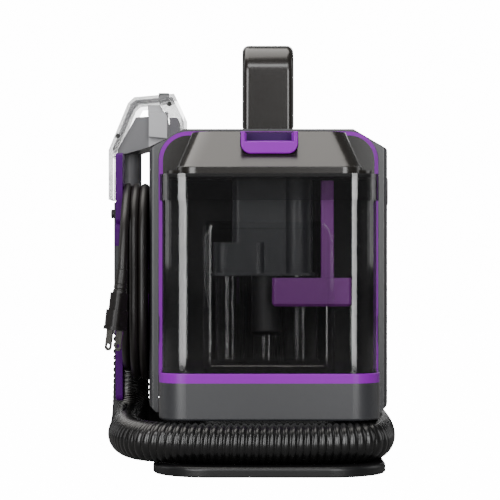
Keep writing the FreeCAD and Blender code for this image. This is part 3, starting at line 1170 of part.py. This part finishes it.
nozzle = new_body("spray_nozzle")
add(nozzle, "XY", minus("head_top", "0.4"), plus("head_top", "3.5"),
    rect("wand_side + 24", "wand_side + 33", "wand_place - 6", "wand_place + 6", "2"))
brush = new_body("tool_brush")
add(brush, "XZ", "head_front + 6", "head_front + head_width - 6", polygon(
    head_point("31.1", "24"), head_point("33.6", "24"), head_point("33.6", "39"), head_point("31.1", "38")))
tool_screws = []
for k, (across, down) in enumerate((("-8.8", "36"), ("35", "9"))):
    x, z = head_point(across, down)
    remove(window, "XZ", "head_front - 1", plus("head_front", "2"), circle(x, z, "2.05"))
    tool_screws.append(cylinder_part(f"tool_screw_{k}", "2", "1.2", (x, "head_front - 0.3", z), "Y"))
joined("tool_screws", tool_screws)

# ---------------------------------------------------------------- what holds the tool on the body
dock = new_body("nozzle_dock")
ROOF_SLOPE = "(roof_top - eave_height)/((body_width - roof_width)/2)"
add(dock, "XZ", "head_front + 8", "head_front + head_width - 8", polygon(
    ("-83.6", "head_top - 20"), ("-77", "head_top - 20"), ("-75.5", "head_top - 33.5"),
    ("-66", "head_top - 34"),
    ("-66", "roof_top"), ("-roof_width/2", "roof_top"),
    ("-83.6", f"roof_top - (83.6 - roof_width/2)*{ROOF_SLOPE}")))

cradle = new_body("wand_clip")
CRADLE_LOW, CRADLE_HIGH = "grip_top - 46", "grip_top - 30"
add(cradle, "XY", CRADLE_LOW, CRADLE_HIGH, circle("wand_side", "wand_place", "grip_radius + 2.2"))
add(cradle, "XY", CRADLE_LOW, CRADLE_HIGH,
    rect("wand_side + 8", minus(WALL_LEFT, "0.2"), "wand_place - 10", "wand_place + 10"))
remove(cradle, "XY", CRADLE_LOW, CRADLE_HIGH, circle("wand_side", "wand_place", "grip_radius + 0.3"))
remove(cradle, "XY", CRADLE_LOW, CRADLE_HIGH,
       rect("wand_side - 30", "wand_side - 7", "wand_place - 30", "wand_place + 30"))
remove(cradle, "XY", CRADLE_LOW, CRADLE_HIGH,
       rect("wand_side - 6.9", "wand_side + 6.9", "wand_place + 8", "wand_place + 30"))

saddle = new_body("wand_saddle")
add(saddle, "XY", "grip_top + 2", "grip_top + 14",
    rect("wand_side + 12", minus(WALL_LEFT, "0.2"), "wand_place - 12", "wand_place + 12", "2"))
joined("tool_cradle", [cradle, saddle])

# ---------------------------------------------------------------- check and write
NODES = [
    "base_plate", "rubber_feet", "base_waist", "base_screws", "chassis", "dirty_tank_rim", "clean_tank_rim",
    "body_shell_left", "body_shell_right", "tank_arch", "front_bulkhead", "rear_bulkhead", "exhaust_grille",
    "handle", "handle_pad", "handle_screws", "power_switch", "power_button",
    "suction_motor", "fan_housing", "impeller", "water_pump", "suction_duct", "dirty_water_pipe",
    "dirty_tank", "lid_skirt", "lid_seal", "lid_hood", "lid_latch",
    "separator", "separator_cage", "inlet_spout", "float",
    "clean_tank", "clean_tank_cover", "fill_cap", "tank_valve",
    "cord_hook_upper", "cord_hook_lower", "hook_screws", "cord_coil", "cord_gland", "strain_relief",
    "cord_lead", "cord_tail", "plug_body", "plug_blades",
    "hose_port", "suction_hose", "hose_cuff",
    "tool_grip", "spray_trigger", "tool_release_button", "tool_head", "tool_window", "spray_nozzle",
    "tool_brush", "tool_screws", "nozzle_dock", "tool_cradle",
]

doc.recompute()
for thing in doc.Objects:
    if {"Invalid", "Error"} & set(thing.State):
        raise RuntimeError(f"{thing.Label} failed: {thing.State}")
os.makedirs("parts", exist_ok=True)
by_label = {thing.Label: thing for thing in doc.Objects}
for node in NODES:
    shape = by_label[node].Shape
    if shape.isNull() or not shape.isValid() or shape.Volume <= 0:
        raise RuntimeError(f"{node} has no sound shape")
    shape.exportStep(f"parts/{node}.step")
print(f"{len(NODES)} nodes; hose {hose_length:.0f} mm, tightest bend {hose_bend:.1f} mm;"
      f" cord lead {lead_length:.0f} mm, tail {tail_length:.0f} mm")
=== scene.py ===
"""The look of a portable carpet cleaner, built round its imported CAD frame.

+Z is up, -Y is the dirty tank's end and +X is the side away from the cord. Metres.
"""
import bpy
import math
from mathutils import Matrix, Vector


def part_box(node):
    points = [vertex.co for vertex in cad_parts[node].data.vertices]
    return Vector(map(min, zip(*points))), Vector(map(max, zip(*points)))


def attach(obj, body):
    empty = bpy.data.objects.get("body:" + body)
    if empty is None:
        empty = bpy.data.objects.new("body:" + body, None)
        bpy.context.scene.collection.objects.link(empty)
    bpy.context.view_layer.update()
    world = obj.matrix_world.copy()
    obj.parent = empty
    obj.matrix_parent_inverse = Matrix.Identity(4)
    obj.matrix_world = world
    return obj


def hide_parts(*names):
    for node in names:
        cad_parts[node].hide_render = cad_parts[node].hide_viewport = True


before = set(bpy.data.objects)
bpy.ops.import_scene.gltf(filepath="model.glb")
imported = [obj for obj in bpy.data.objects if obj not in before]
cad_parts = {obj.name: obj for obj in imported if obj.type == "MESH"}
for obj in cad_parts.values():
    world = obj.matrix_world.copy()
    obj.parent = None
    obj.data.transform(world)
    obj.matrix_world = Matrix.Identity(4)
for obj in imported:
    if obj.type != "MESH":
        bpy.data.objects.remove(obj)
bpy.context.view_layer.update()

bpy.ops.object.select_all(action="DESELECT")

# ---------------------------------------------------------------- base plate, waist and feet
# The machine stands on a flat black plate with a rounded rim, moulded with a fine spark texture.
# A narrower waist is screwed to it; four soft pads are bonded flush into its underside.


def grain_group():
    """A moulding's surface: a fine texture, a slow drift of colour and a patchy shine."""
    group = bpy.data.node_groups.new("moulded_grain", "ShaderNodeTree")
    face = group.interface
    wanted = [("Colour", "Color", 0.1), ("Drift", "Float", 0.1), ("Roughness", "Float", 0.4),
              ("Patchiness", "Float", 0.06), ("Grain scale", "Float", 900.0), ("Grain depth", "Float", 0.1)]
    for name, kind, value in wanted:
        socket = face.new_socket(name, in_out="INPUT", socket_type=f"NodeSocket{kind}")
        socket.default_value = (value, value, value, 1) if kind == "Color" else value
    face.new_socket("Colour", in_out="OUTPUT", socket_type="NodeSocketColor")
    face.new_socket("Roughness", in_out="OUTPUT", socket_type="NodeSocketFloat")
    face.new_socket("Normal", in_out="OUTPUT", socket_type="NodeSocketVector")
    nodes, link = group.nodes, group.links.new
    given, made = nodes.new("NodeGroupInput"), nodes.new("NodeGroupOutput")
    place = nodes.new("ShaderNodeTexCoord")
    slow = nodes.new("ShaderNodeTexNoise")
    slow.inputs["Scale"].default_value = 14
    slow.inputs["Detail"].default_value = 3
    fine = nodes.new("ShaderNodeTexNoise")
    fine.inputs["Detail"].default_value = 2
    for noise in (slow, fine):
        link(place.outputs["Object"], noise.inputs["Vector"])
    link(given.outputs["Grain scale"], fine.inputs["Scale"])
    centred = nodes.new("ShaderNodeMath")
    centred.operation = "SUBTRACT"
    link(slow.outputs["Fac"], centred.inputs[0])
    centred.inputs[1].default_value = 0.5
    drift = nodes.new("ShaderNodeMath")
    drift.operation = "MULTIPLY_ADD"
    link(centred.outputs[0], drift.inputs[0])
    link(given.outputs["Drift"], drift.inputs[1])
    drift.inputs[2].default_value = 1
    tint = nodes.new("ShaderNodeVectorMath")
    tint.operation = "SCALE"
    link(given.outputs["Colour"], tint.inputs[0])
    link(drift.outputs[0], tint.inputs["Scale"])
    link(tint.outputs[0], made.inputs["Colour"])
    patch = nodes.new("ShaderNodeMath")
    patch.operation = "MULTIPLY_ADD"
    link(centred.outputs[0], patch.inputs[0])
    link(given.outputs["Patchiness"], patch.inputs[1])
    link(given.outputs["Roughness"], patch.inputs[2])
    link(patch.outputs[0], made.inputs["Roughness"])
    bump = nodes.new("ShaderNodeBump")
    bump.inputs["Distance"].default_value = 0.0002
    link(fine.outputs["Fac"], bump.inputs["Height"])
    link(given.outputs["Grain depth"], bump.inputs["Strength"])
    link(bump.outputs["Normal"], made.inputs["Normal"])
    return group


GRAIN = grain_group()


def moulding(name, colour, roughness, drift=0.12, patchiness=0.08, grain=900.0, depth=0.12, coat=0.0,
             **sockets):
    """A plastic or rubber with a moulded grain. Extra values go to the shader's own sockets."""
    material = bpy.data.materials.new(name)
    material.use_nodes = True
    nodes = material.node_tree.nodes
    shader = nodes["Principled BSDF"]
    surface = nodes.new("ShaderNodeGroup")
    surface.node_tree = GRAIN
    surface.inputs["Colour"].default_value = (*colour, 1)
    surface.inputs["Drift"].default_value = drift
    surface.inputs["Roughness"].default_value = roughness
    surface.inputs["Patchiness"].default_value = patchiness
    surface.inputs["Grain scale"].default_value = grain
    surface.inputs["Grain depth"].default_value = depth
    link = material.node_tree.links.new
    link(surface.outputs["Colour"], shader.inputs["Base Color"])
    link(surface.outputs["Roughness"], shader.inputs["Roughness"])
    link(surface.outputs["Normal"], shader.inputs["Normal"])
    shader.inputs["Coat Weight"].default_value = coat
    shader.inputs["Coat Roughness"].default_value = 0.08
    for socket, value in sockets.items():
        shader.inputs[socket.replace("_", " ")].default_value = value
    return material


def dress(material, *names):
    """Gives CAD nodes their finish."""
    for name in names:
        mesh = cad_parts[name].data
        mesh.materials.clear()
        mesh.materials.append(material)


black_moulding = moulding("black_moulding", (0.0045, 0.0045, 0.005), 0.38, coat=0.03)
dress(black_moulding, "base_plate", "base_waist", "hose_port", "exhaust_grille")
soft_rubber = moulding("soft_rubber", (0.018, 0.018, 0.018), 0.75, grain=600.0, depth=0.25)
dress(soft_rubber, "rubber_feet", "handle_pad", "lid_seal")

# ---------------------------------------------------------------- chassis and body shell
# Two grey shells meet on the centre line over a grey chassis, all moulded in a satin plastic
# with a fine even texture. Brackets on the left shell are moulded in the same colour.
satin_grey = moulding("satin_grey", (0.026, 0.0272, 0.031), 0.42, drift=0.05, grain=1100.0, depth=0.08,
                      coat=0.7, Coat_Roughness=0.3)
dress(satin_grey, "chassis", "body_shell_left", "body_shell_right", "cord_gland", "tool_cradle")

# ---------------------------------------------------------------- coloured trim
# The tank rims, the arch and most parts that a hand should find are moulded in a glossy purple,
# coloured through. The hooks and the nozzle's dock are given a darker purple as painted shade, and
# the float a dimmer, redder purple as painted shade for its place inside the smoked tank.
PURPLE = (0.26, 0.0005, 0.43)
purple = moulding("purple_trim", PURPLE, 0.3, drift=0.06, patchiness=0.05, grain=500.0, depth=0.03,
                  coat=0.06, Specular_IOR_Level=0.3)
dress(purple, "dirty_tank_rim", "clean_tank_rim", "tank_arch", "power_button", "spray_trigger", "fill_cap")
# Painted shade: the hooks take a darker purple than the trim, standing in for the shade on their faces.
hook_shade_purple = moulding("hook_shade_purple", (0.065, 0.0002, 0.13), 0.36, drift=0.08, grain=500.0, depth=0.03,
                       Specular_IOR_Level=0.1)
dress(hook_shade_purple, "cord_hook_upper", "cord_hook_lower")
# Painted shade: the nozzle's dock takes a near-black purple, standing in for the shade it sits in.
dock_shade_purple = moulding("dock_shade_purple", (0.045, 0.001, 0.085), 0.4, drift=0.08, grain=500.0, depth=0.04)
dress(dock_shade_purple, "nozzle_dock")
# Painted shade: the float takes a dimmer, redder purple than the trim, standing in for the shade inside the
# smoked tank.
float_purple = moulding("float_purple", (0.22, 0.03, 0.28), 0.34, drift=0.08, grain=500.0, depth=0.03)
dress(float_purple, "float")

# ---------------------------------------------------------------- lid latch
# The latch is moulded in the trim's purple and turns on a pin in the lid's hood. The finger
# recess in its upper middle carries painted shade: a darker purple.
RECESS_LOW = 0.2588
RECESS_HALF = 0.0178


def second_colour(material, colour, *limits):
    """Colours the part of a moulding that lies inside two limits. Each gives an axis, whether it is
    measured both ways from the middle, a test and a distance."""
    nodes, link = material.node_tree.nodes, material.node_tree.links.new
    place = nodes.new("ShaderNodeTexCoord")
    axes = nodes.new("ShaderNodeSeparateXYZ")
    link(place.outputs["Object"], axes.inputs[0])
    both = nodes.new("ShaderNodeMath")
    both.operation = "MULTIPLY"
    for slot, (axis, mirrored, test, distance) in enumerate(limits):
        measured = axes.outputs[axis]
        if mirrored:
            aside = nodes.new("ShaderNodeMath")
            aside.operation = "ABSOLUTE"
            link(measured, aside.inputs[0])
            measured = aside.outputs[0]
        inside = nodes.new("ShaderNodeMath")
        inside.operation = test
        inside.inputs[1].default_value = distance
        link(measured, inside.inputs[0])
        link(inside.outputs[0], both.inputs[slot])
    mix = nodes.new("ShaderNodeMix")
    mix.data_type = "RGBA"
    link(both.outputs[0], mix.inputs["Factor"])
    outside, within = mix.inputs[6], mix.inputs[7]  # the two colour sockets
    link(nodes["Group"].outputs["Colour"], outside)
    within.default_value = (*colour, 1)
    link(mix.outputs[2], nodes["Principled BSDF"].inputs["Base Color"])


latch_purple = moulding("latch_purple", PURPLE, 0.3, drift=0.06, grain=500.0, depth=0.03,
                        Specular_IOR_Level=0.3)
# Painted shade: the finger recess is coloured near-black purple for the shade inside it.
second_colour(latch_purple, (0.03, 0.0005, 0.07), ("X", True, "LESS_THAN", RECESS_HALF),
              ("Z", False, "GREATER_THAN", RECESS_LOW))
dress(latch_purple, "lid_latch")

# ---------------------------------------------------------------- handle and lids
# The handle, the dirty tank's hood and the clean tank's cover are black gloss mouldings with a
# faint warm cast. The handle is screwed down; the covers sit on their tanks.
black_gloss = moulding("black_gloss", (0.015, 0.0132, 0.0115), 0.25, drift=0.1, grain=300.0, depth=0.03,
                       coat=0.4, Coat_Roughness=0.14)
dress(black_gloss, "handle", "lid_hood", "clean_tank_cover")

# ---------------------------------------------------------------- workings
# The fan housing, pump, ducts and bulkheads are plain black mouldings and the separator is slate.
# The motor's can and the screws are metal; the hand tool's screws are blackened.
inner_black = moulding("inner_black", (0.009, 0.009, 0.010), 0.5)
dress(inner_black, "front_bulkhead", "rear_bulkhead", "power_switch", "fan_housing", "impeller", "water_pump",
      "suction_duct", "dirty_water_pipe", "inlet_spout", "tank_valve", "spray_nozzle", "tool_release_button")
slate = moulding("separator_slate", (0.021, 0.023, 0.027), 0.38, drift=0.08)
dress(slate, "separator")
motor_metal = moulding("motor_metal", (0.4, 0.4, 0.42), 0.35, Metallic=0.8)
dress(motor_metal, "suction_motor")
steel = moulding("screw_steel", (0.5, 0.5, 0.52), 0.3, Metallic=1.0)
dress(steel, "base_screws", "handle_screws", "hook_screws")
dark_screw = moulding("dark_screws", (0.01, 0.01, 0.01), 0.3, Metallic=0.4)
dress(dark_screw, "tool_screws")


# ---------------------------------------------------------------- tanks
# Both tanks are moulded in a smoked clear plastic, and the lid's skirt matches. The separator's
# tubes are clearer, and the nozzle's window is clear with a pale cast.
SMOKE = (0.006, 0.006, 0.007)


def clear_moulding(name, colour, roughness, facing, edge, ior=1.5):
    """A see-through wall: it hides little where it is looked through squarely, and more at its edges."""
    material = bpy.data.materials.new(name)
    material.use_nodes = True
    nodes = material.node_tree.nodes
    shader = nodes["Principled BSDF"]
    shader.inputs["Base Color"].default_value = (*colour, 1)
    shader.inputs["IOR"].default_value = ior
    place = nodes.new("ShaderNodeTexCoord")
    smear = nodes.new("ShaderNodeTexNoise")
    smear.inputs["Scale"].default_value = 30
    smear.inputs["Detail"].default_value = 4
    spread = nodes.new("ShaderNodeMapRange")
    spread.inputs["To Min"].default_value = roughness
    spread.inputs["To Max"].default_value = roughness + 0.05
    turned = nodes.new("ShaderNodeLayerWeight")
    turned.inputs["Blend"].default_value = 0.35
    cover = nodes.new("ShaderNodeMapRange")
    cover.inputs["To Min"].default_value = facing
    cover.inputs["To Max"].default_value = edge
    link = material.node_tree.links.new
    link(place.outputs["Object"], smear.inputs["Vector"])
    link(smear.outputs["Fac"], spread.inputs["Value"])
    link(spread.outputs["Result"], shader.inputs["Roughness"])
    link(turned.outputs["Facing"], cover.inputs["Value"])
    link(cover.outputs["Result"], shader.inputs["Alpha"])
    return material


smoked_clear = clear_moulding("smoked_clear", SMOKE, 0.03, 0.19, 0.75, ior=2.6)
dress(smoked_clear, "dirty_tank", "lid_skirt", "clean_tank")
tube_clear = clear_moulding("separator_tubes", (0.03, 0.03, 0.032), 0.02, 0.14, 0.8, ior=2.6)
dress(tube_clear, "separator_cage")
cover_clear = clear_moulding("nozzle_cover", (0.26, 0.26, 0.27), 0.05, 0.42, 0.95)
dress(cover_clear, "tool_window")

# ---------------------------------------------------------------- raised panel on the dirty tank
# A thin panel stands proud of the tank's front wall, moulded with it in the same smoked plastic.
# Its upper corners are round, and a shallow step runs inside its edge.
PANEL_WIDE = 0.1
PANEL_LOW = 0.0785
PANEL_HIGH = 0.194
PANEL_PROUD = 0.0016
PANEL_SUNK = 0.0001
CORNER_ROUND = 0.014
NEAR = 0.001
panel_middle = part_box("dirty_tank")[0][1] - PANEL_PROUD / 2 + PANEL_SUNK
bpy.ops.object.select_all(action="DESELECT")
bpy.ops.mesh.primitive_cube_add(size=1, location=(0, panel_middle, (PANEL_LOW + PANEL_HIGH) / 2),
                                scale=(PANEL_WIDE, PANEL_PROUD, PANEL_HIGH - PANEL_LOW))
raised = bpy.context.object
raised.name = "tank_raised_panel"
bpy.ops.object.transform_apply(location=True, rotation=True, scale=True)
raised_mesh = raised.data


def select_only(kind, parts, wanted):
    """Selects the raised panel's edges or faces that pass a test, and leaves it in edit mode."""
    bpy.ops.object.mode_set(mode="EDIT")
    bpy.ops.mesh.select_mode(type=kind)
    bpy.ops.mesh.select_all(action="DESELECT")
    bpy.ops.object.mode_set(mode="OBJECT")
    for part in parts():
        part.select = wanted(part)
    bpy.ops.object.mode_set(mode="EDIT")


def is_upper_corner(edge):
    """True for the two short edges, front to back, at the panel's upper corners."""
    a, b = (raised_mesh.vertices[index].co for index in edge.vertices)
    return abs(a.y - b.y) > NEAR and a.z > PANEL_HIGH - NEAR


select_only("EDGE", lambda: raised_mesh.edges, is_upper_corner)
bpy.ops.mesh.bevel(offset=CORNER_ROUND, segments=8, affect="EDGES")
select_only("FACE", lambda: raised_mesh.polygons, lambda face: face.normal.y < -0.9)
for width, step in ((0.0012, 0.0004), (0.0032, 0), (0.0010, -0.0009)):
    bpy.ops.mesh.inset(thickness=width, depth=step)
bpy.ops.object.mode_set(mode="OBJECT")
raised_mesh.materials.append(clear_moulding("raised_panel_clear", SMOKE, 0.03, 0.02, 0.6, ior=2.6))
raised_mesh.shade_smooth()
bpy.ops.object.shade_smooth_by_angle(angle=math.radians(35))
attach(raised, "dirty_tank")
bpy.ops.object.select_all(action="DESELECT")

# ---------------------------------------------------------------- hand tool
# The grip is dark grey, the hose's cuff light grey and the nozzle head mid grey, with a pale spout.
# All are satin mouldings. The brush is one nylon block.
dark_grey = moulding("dark_grey", (0.045, 0.047, 0.052), 0.38)
dress(dark_grey, "tool_grip")
light_grey = moulding("light_grey", (0.20, 0.20, 0.21), 0.36, drift=0.06)
dress(light_grey, "hose_cuff")
SPOUT_LEFT = -0.1015
SPOUT_REAR = -0.0048
head_grey = moulding("head_grey", (0.14, 0.14, 0.148), 0.36, drift=0.06)
second_colour(head_grey, (0.46, 0.46, 0.475), ("X", False, "GREATER_THAN", SPOUT_LEFT),
              ("Y", False, "LESS_THAN", SPOUT_REAR))
dress(head_grey, "tool_head")
nylon = moulding("brush_nylon", (0.02, 0.02, 0.02), 0.5)
dress(nylon, "tool_brush")

# ---------------------------------------------------------------- mains cord
# A round two-core cord in black rubber, wound twelve times round both hooks in three layers. It
# leaves the body through a tapered sleeve, and its loose end hangs at the front with the plug.
cord_rubber = moulding("cord_rubber", (0.010, 0.0085, 0.008), 0.4, grain=700.0, depth=0.15)
dress(cord_rubber, "strain_relief", "plug_body")
blade_metal = moulding("blade_metal", (0.62, 0.6, 0.56), 0.25, Metallic=1.0)
dress(blade_metal, "plug_blades")

CORD_WIDE = 0.007
CORD_STEP = 0.0071
SLEEVE_END = (-0.10605, -0.033, 0.1474)
COIL_Y = -0.05
UPPER_Z = 0.178
LOWER_Z = 0.1144
FIRST_TURN = 0.02555
LAYER_X = (-0.10245, -0.10955, -0.11665)
TURNS_PER_LAYER = 4
SLICES = 6


def arc_point(x, radius, turn, pivot, way):
    """A control point of a half turn round a hook; its line's middles lie on the radius."""
    reach = radius / math.cos(math.pi / SLICES / 2)
    return (x, COIL_Y + way * reach * math.cos(turn), pivot + way * reach * math.sin(turn))


def cord_points():
    """The whole cord: up out of its sleeve, round the hooks in layers that fill outwards, inwards and
    outwards again, then off the outermost turn and down to the plug."""
    outwards = range(TURNS_PER_LAYER)
    turns = []
    for layer, x in enumerate(LAYER_X):
        turns += [(x, k) for k in (reversed(outwards) if layer == 1 else outwards)]
    points = [SLEEVE_END, (-0.10605, -0.033, 0.1574), (-0.10605, -0.02445, 0.170)]
    for number, (x, k) in enumerate(turns):
        radius = FIRST_TURN + k * CORD_STEP
        last = number == len(turns) - 1
        for step in range(1 if number == 0 else 0, 4 if last else SLICES + 1):
            points.append(arc_point(x, radius, math.pi * step / SLICES, UPPER_Z, 1))
        if last:
            break
        points.append((x, COIL_Y - radius, (UPPER_Z + LOWER_Z) / 2))
        for step in range(SLICES + 1):
            points.append(arc_point(x, radius, math.pi * step / SLICES, LOWER_Z, -1))
        next_x, next_k = turns[number + 1]
        middle = FIRST_TURN + (k + next_k) / 2 * CORD_STEP
        points.append(((x + next_x) / 2, COIL_Y + middle, (UPPER_Z + LOWER_Z) / 2))
    points += [(-0.11665, -0.0651, 0.2223), (-0.11665, -0.0801, 0.2139), (-0.11675, -0.11065, 0.1882),
               (-0.11805, -0.11205, 0.157)]
    return points


def nurbs_line(name, points, bevel=0.0):
    """A smooth line on its control points, round if bevel gives a radius."""
    curve = bpy.data.curves.new(name, "CURVE")
    curve.dimensions = "3D"
    curve.bevel_depth = bevel
    curve.bevel_resolution = 4
    curve.resolution_u = 8
    curve.use_fill_caps = True
    spline = curve.splines.new("NURBS")
    spline.points.add(len(points) - 1)
    for point, at in zip(spline.points, points):
        point.co = (*at, 1)
    spline.order_u = 3
    spline.use_endpoint_u = True
    line = bpy.data.objects.new(name, curve)
    bpy.context.scene.collection.objects.link(line)
    return line


cord = nurbs_line("mains_cord", cord_points(), CORD_WIDE / 2)
cord.data.materials.append(cord_rubber)
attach(cord, "machine")
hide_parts("cord_coil", "cord_lead", "cord_tail")

# ---------------------------------------------------------------- suction hose
# A black corrugated hose, wound from a stiff ribbon so that its ribs run along it as a helix. It
# leaves the port on the left, lies in the groove round the waist and rises into the grip's cuff.
HOSE_WIDE = 0.0314
RIB_STEP = 0.0054
RIB_DEEP = 0.0021
RINGS_PER_RIB = 8
SPOKES = 36
CREST_BROAD = 0.55
hose_route = [
    (-0.089, 0.056, 0.0245), (-0.089, 0.161, 0.0245), (-0.059, 0.191, 0.0245), (0.059, 0.191, 0.0245),
    (0.089, 0.161, 0.0245), (0.089, -0.161, 0.0245), (0.059, -0.191, 0.0245), (-0.075, -0.191, 0.0245),
    (-0.1135, -0.152, 0.0245), (-0.1165, -0.0255, 0.0245), (-0.1185, 0.0185, 0.0585),
    (-0.1185, 0.0185, 0.100)]
hose_line = nurbs_line("hose_line", hose_route)
hose_line.data.resolution_u = 40
flat_line = bpy.data.meshes.new_from_object(hose_line)
along = [vertex.co.copy() for vertex in flat_line.vertices]
bpy.data.objects.remove(hose_line)


def even_steps(points, step):
    """The same line in even steps, with its length."""
    lengths = [0.0]
    for a, b in zip(points, points[1:]):
        lengths.append(lengths[-1] + (b - a).length)
    count = round(lengths[-1] / step)
    made = []
    k = 0
    for n in range(count + 1):
        want = lengths[-1] * n / count
        while k < len(points) - 2 and lengths[k + 1] < want:
            k += 1
        share = (want - lengths[k]) / (lengths[k + 1] - lengths[k])
        made.append(points[k].lerp(points[k + 1], min(share, 1)))
    return made, lengths[-1]


hose_path, hose_long = even_steps(along, RIB_STEP / RINGS_PER_RIB)
verts = []
side = Vector((1, 0, 0))
for n, at in enumerate(hose_path):
    heading = (hose_path[min(n + 1, len(hose_path) - 1)] - hose_path[max(n - 1, 0)]).normalized()
    side = (side - heading * side.dot(heading)).normalized()
    other = heading.cross(side)
    for m in range(SPOKES):
        turn = 2 * math.pi * m / SPOKES
        phase = math.pi * (n / RINGS_PER_RIB + m / SPOKES)
        crest = abs(math.sin(phase)) ** CREST_BROAD
        radius = HOSE_WIDE / 2 - RIB_DEEP * (1 - crest)
        verts.append(at + (side * math.cos(turn) + other * math.sin(turn)) * radius)
faces = []
for n in range(len(hose_path) - 1):
    for m in range(SPOKES):
        a, b = n * SPOKES + m, n * SPOKES + (m + 1) % SPOKES
        faces.append((a, b, b + SPOKES, a + SPOKES))
faces.append(tuple(reversed(range(SPOKES))))
faces.append(tuple(range((len(hose_path) - 1) * SPOKES, len(hose_path) * SPOKES)))
hose_mesh = bpy.data.meshes.new("suction_hose_ribbed")
hose_mesh.from_pydata(verts, [], faces)
hose_mesh.shade_smooth()
hose = bpy.data.objects.new("suction_hose_ribbed", hose_mesh)
bpy.context.scene.collection.objects.link(hose)
hose_black = moulding("hose_black", (0.0045, 0.0045, 0.0045), 0.27, drift=0.2, grain=400.0, depth=0.05,
                      coat=0.2)
hose_mesh.materials.append(hose_black)
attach(hose, "machine")
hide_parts("suction_hose")

# ---------------------------------------------------------------- floor, light and camera
# A plain floor and room that show white. Two tall strips light the front and one the handle, with
# soft panels at both sides, behind and overhead.
BRIGHT_ROOM = 15.0
bpy.ops.mesh.primitive_plane_add(size=14, location=(0, 0, -0.0002))
floor = bpy.context.object
floor.name = "floor"
pale = bpy.data.materials.new("pale_floor")
pale.use_nodes = True
pale_shader = pale.node_tree.nodes["Principled BSDF"]
pale_shader.inputs["Base Color"].default_value = (0.2, 0.2, 0.2, 1)
pale_shader.inputs["Roughness"].default_value = 0.9
pale_shader.inputs["Emission Color"].default_value = (1, 1, 1, 1)
glow_ray = pale.node_tree.nodes.new("ShaderNodeLightPath")
glow = pale.node_tree.nodes.new("ShaderNodeMath")
glow.operation = "MULTIPLY"
glow.inputs[1].default_value = BRIGHT_ROOM
pale.node_tree.links.new(glow_ray.outputs["Is Camera Ray"], glow.inputs[0])
pale.node_tree.links.new(glow.outputs[0], pale_shader.inputs["Emission Strength"])
floor.data.materials.append(pale)

MACHINE_MIDDLE = Vector((0, 0, 0.17))


def panel(name, place, aim, wide, high, power, colour=(1, 1, 1)):
    """One soft rectangular light that faces a point."""
    data = bpy.data.lights.new(name, "AREA")
    data.shape = "RECTANGLE"
    data.size = wide
    data.size_y = high
    data.energy = power
    data.color = colour
    lamp = bpy.data.objects.new(name, data)
    bpy.context.scene.collection.objects.link(lamp)
    facing = (Vector(aim) - Vector(place)).to_track_quat("-Z", "Y")
    lamp.matrix_world = Matrix.Translation(place) @ facing.to_matrix().to_4x4()
    lamp.visible_camera = False
    return lamp


panel("left_strip", (-0.53, -1.2, 0.46), (-0.065, -0.182, 0.3), 0.6, 0.9, 11)
panel("right_strip", (0.37, -1.22, 0.46), (0.065, -0.182, 0.3), 0.36, 0.9, 7)
panel("left_side", (-2.2, 0.5, 0.9), MACHINE_MIDDLE, 1.2, 1.6, 8)
panel("right_side", (2.2, 0.5, 0.9), MACHINE_MIDDLE, 1.2, 1.6, 8)
panel("behind", (0, 2.4, 1.0), MACHINE_MIDDLE, 2.0, 1.4, 16)
panel("overhead", (-0.45, 0.3, 2.2), MACHINE_MIDDLE, 2.0, 2.0, 44, colour=(1, 0.965, 0.92))
panel("handle_strip", (0, -1.21, 1.29), (0, -0.06, 0.33), 0.8, 0.25, 5)

world = bpy.data.worlds.new("pale_room")
bpy.context.scene.world = world
world.use_nodes = True
room = world.node_tree.nodes
seen = room.new("ShaderNodeBackground")
seen.inputs["Color"].default_value = (1, 1, 1, 1)
seen.inputs["Strength"].default_value = BRIGHT_ROOM
lit = room["Background"]
lit.inputs["Color"].default_value = (1, 1, 1, 1)
lit.inputs["Strength"].default_value = 0.075
ray = room.new("ShaderNodeLightPath")
choose = room.new("ShaderNodeMixShader")
link = world.node_tree.links.new
link(ray.outputs["Is Camera Ray"], choose.inputs["Fac"])
link(lit.outputs[0], choose.inputs[1])
link(seen.outputs[0], choose.inputs[2])
link(choose.outputs[0], room["World Output"].inputs["Surface"])

view_data = bpy.data.cameras.new("camera")
view_data.lens = 142
view_data.sensor_width = 36
camera = bpy.data.objects.new("camera", view_data)
bpy.context.scene.collection.objects.link(camera)
camera.location = (-0.015, -1.7, 0.1726)
camera.rotation_euler = (math.pi / 2, 0, 0)
bpy.context.scene.camera = camera
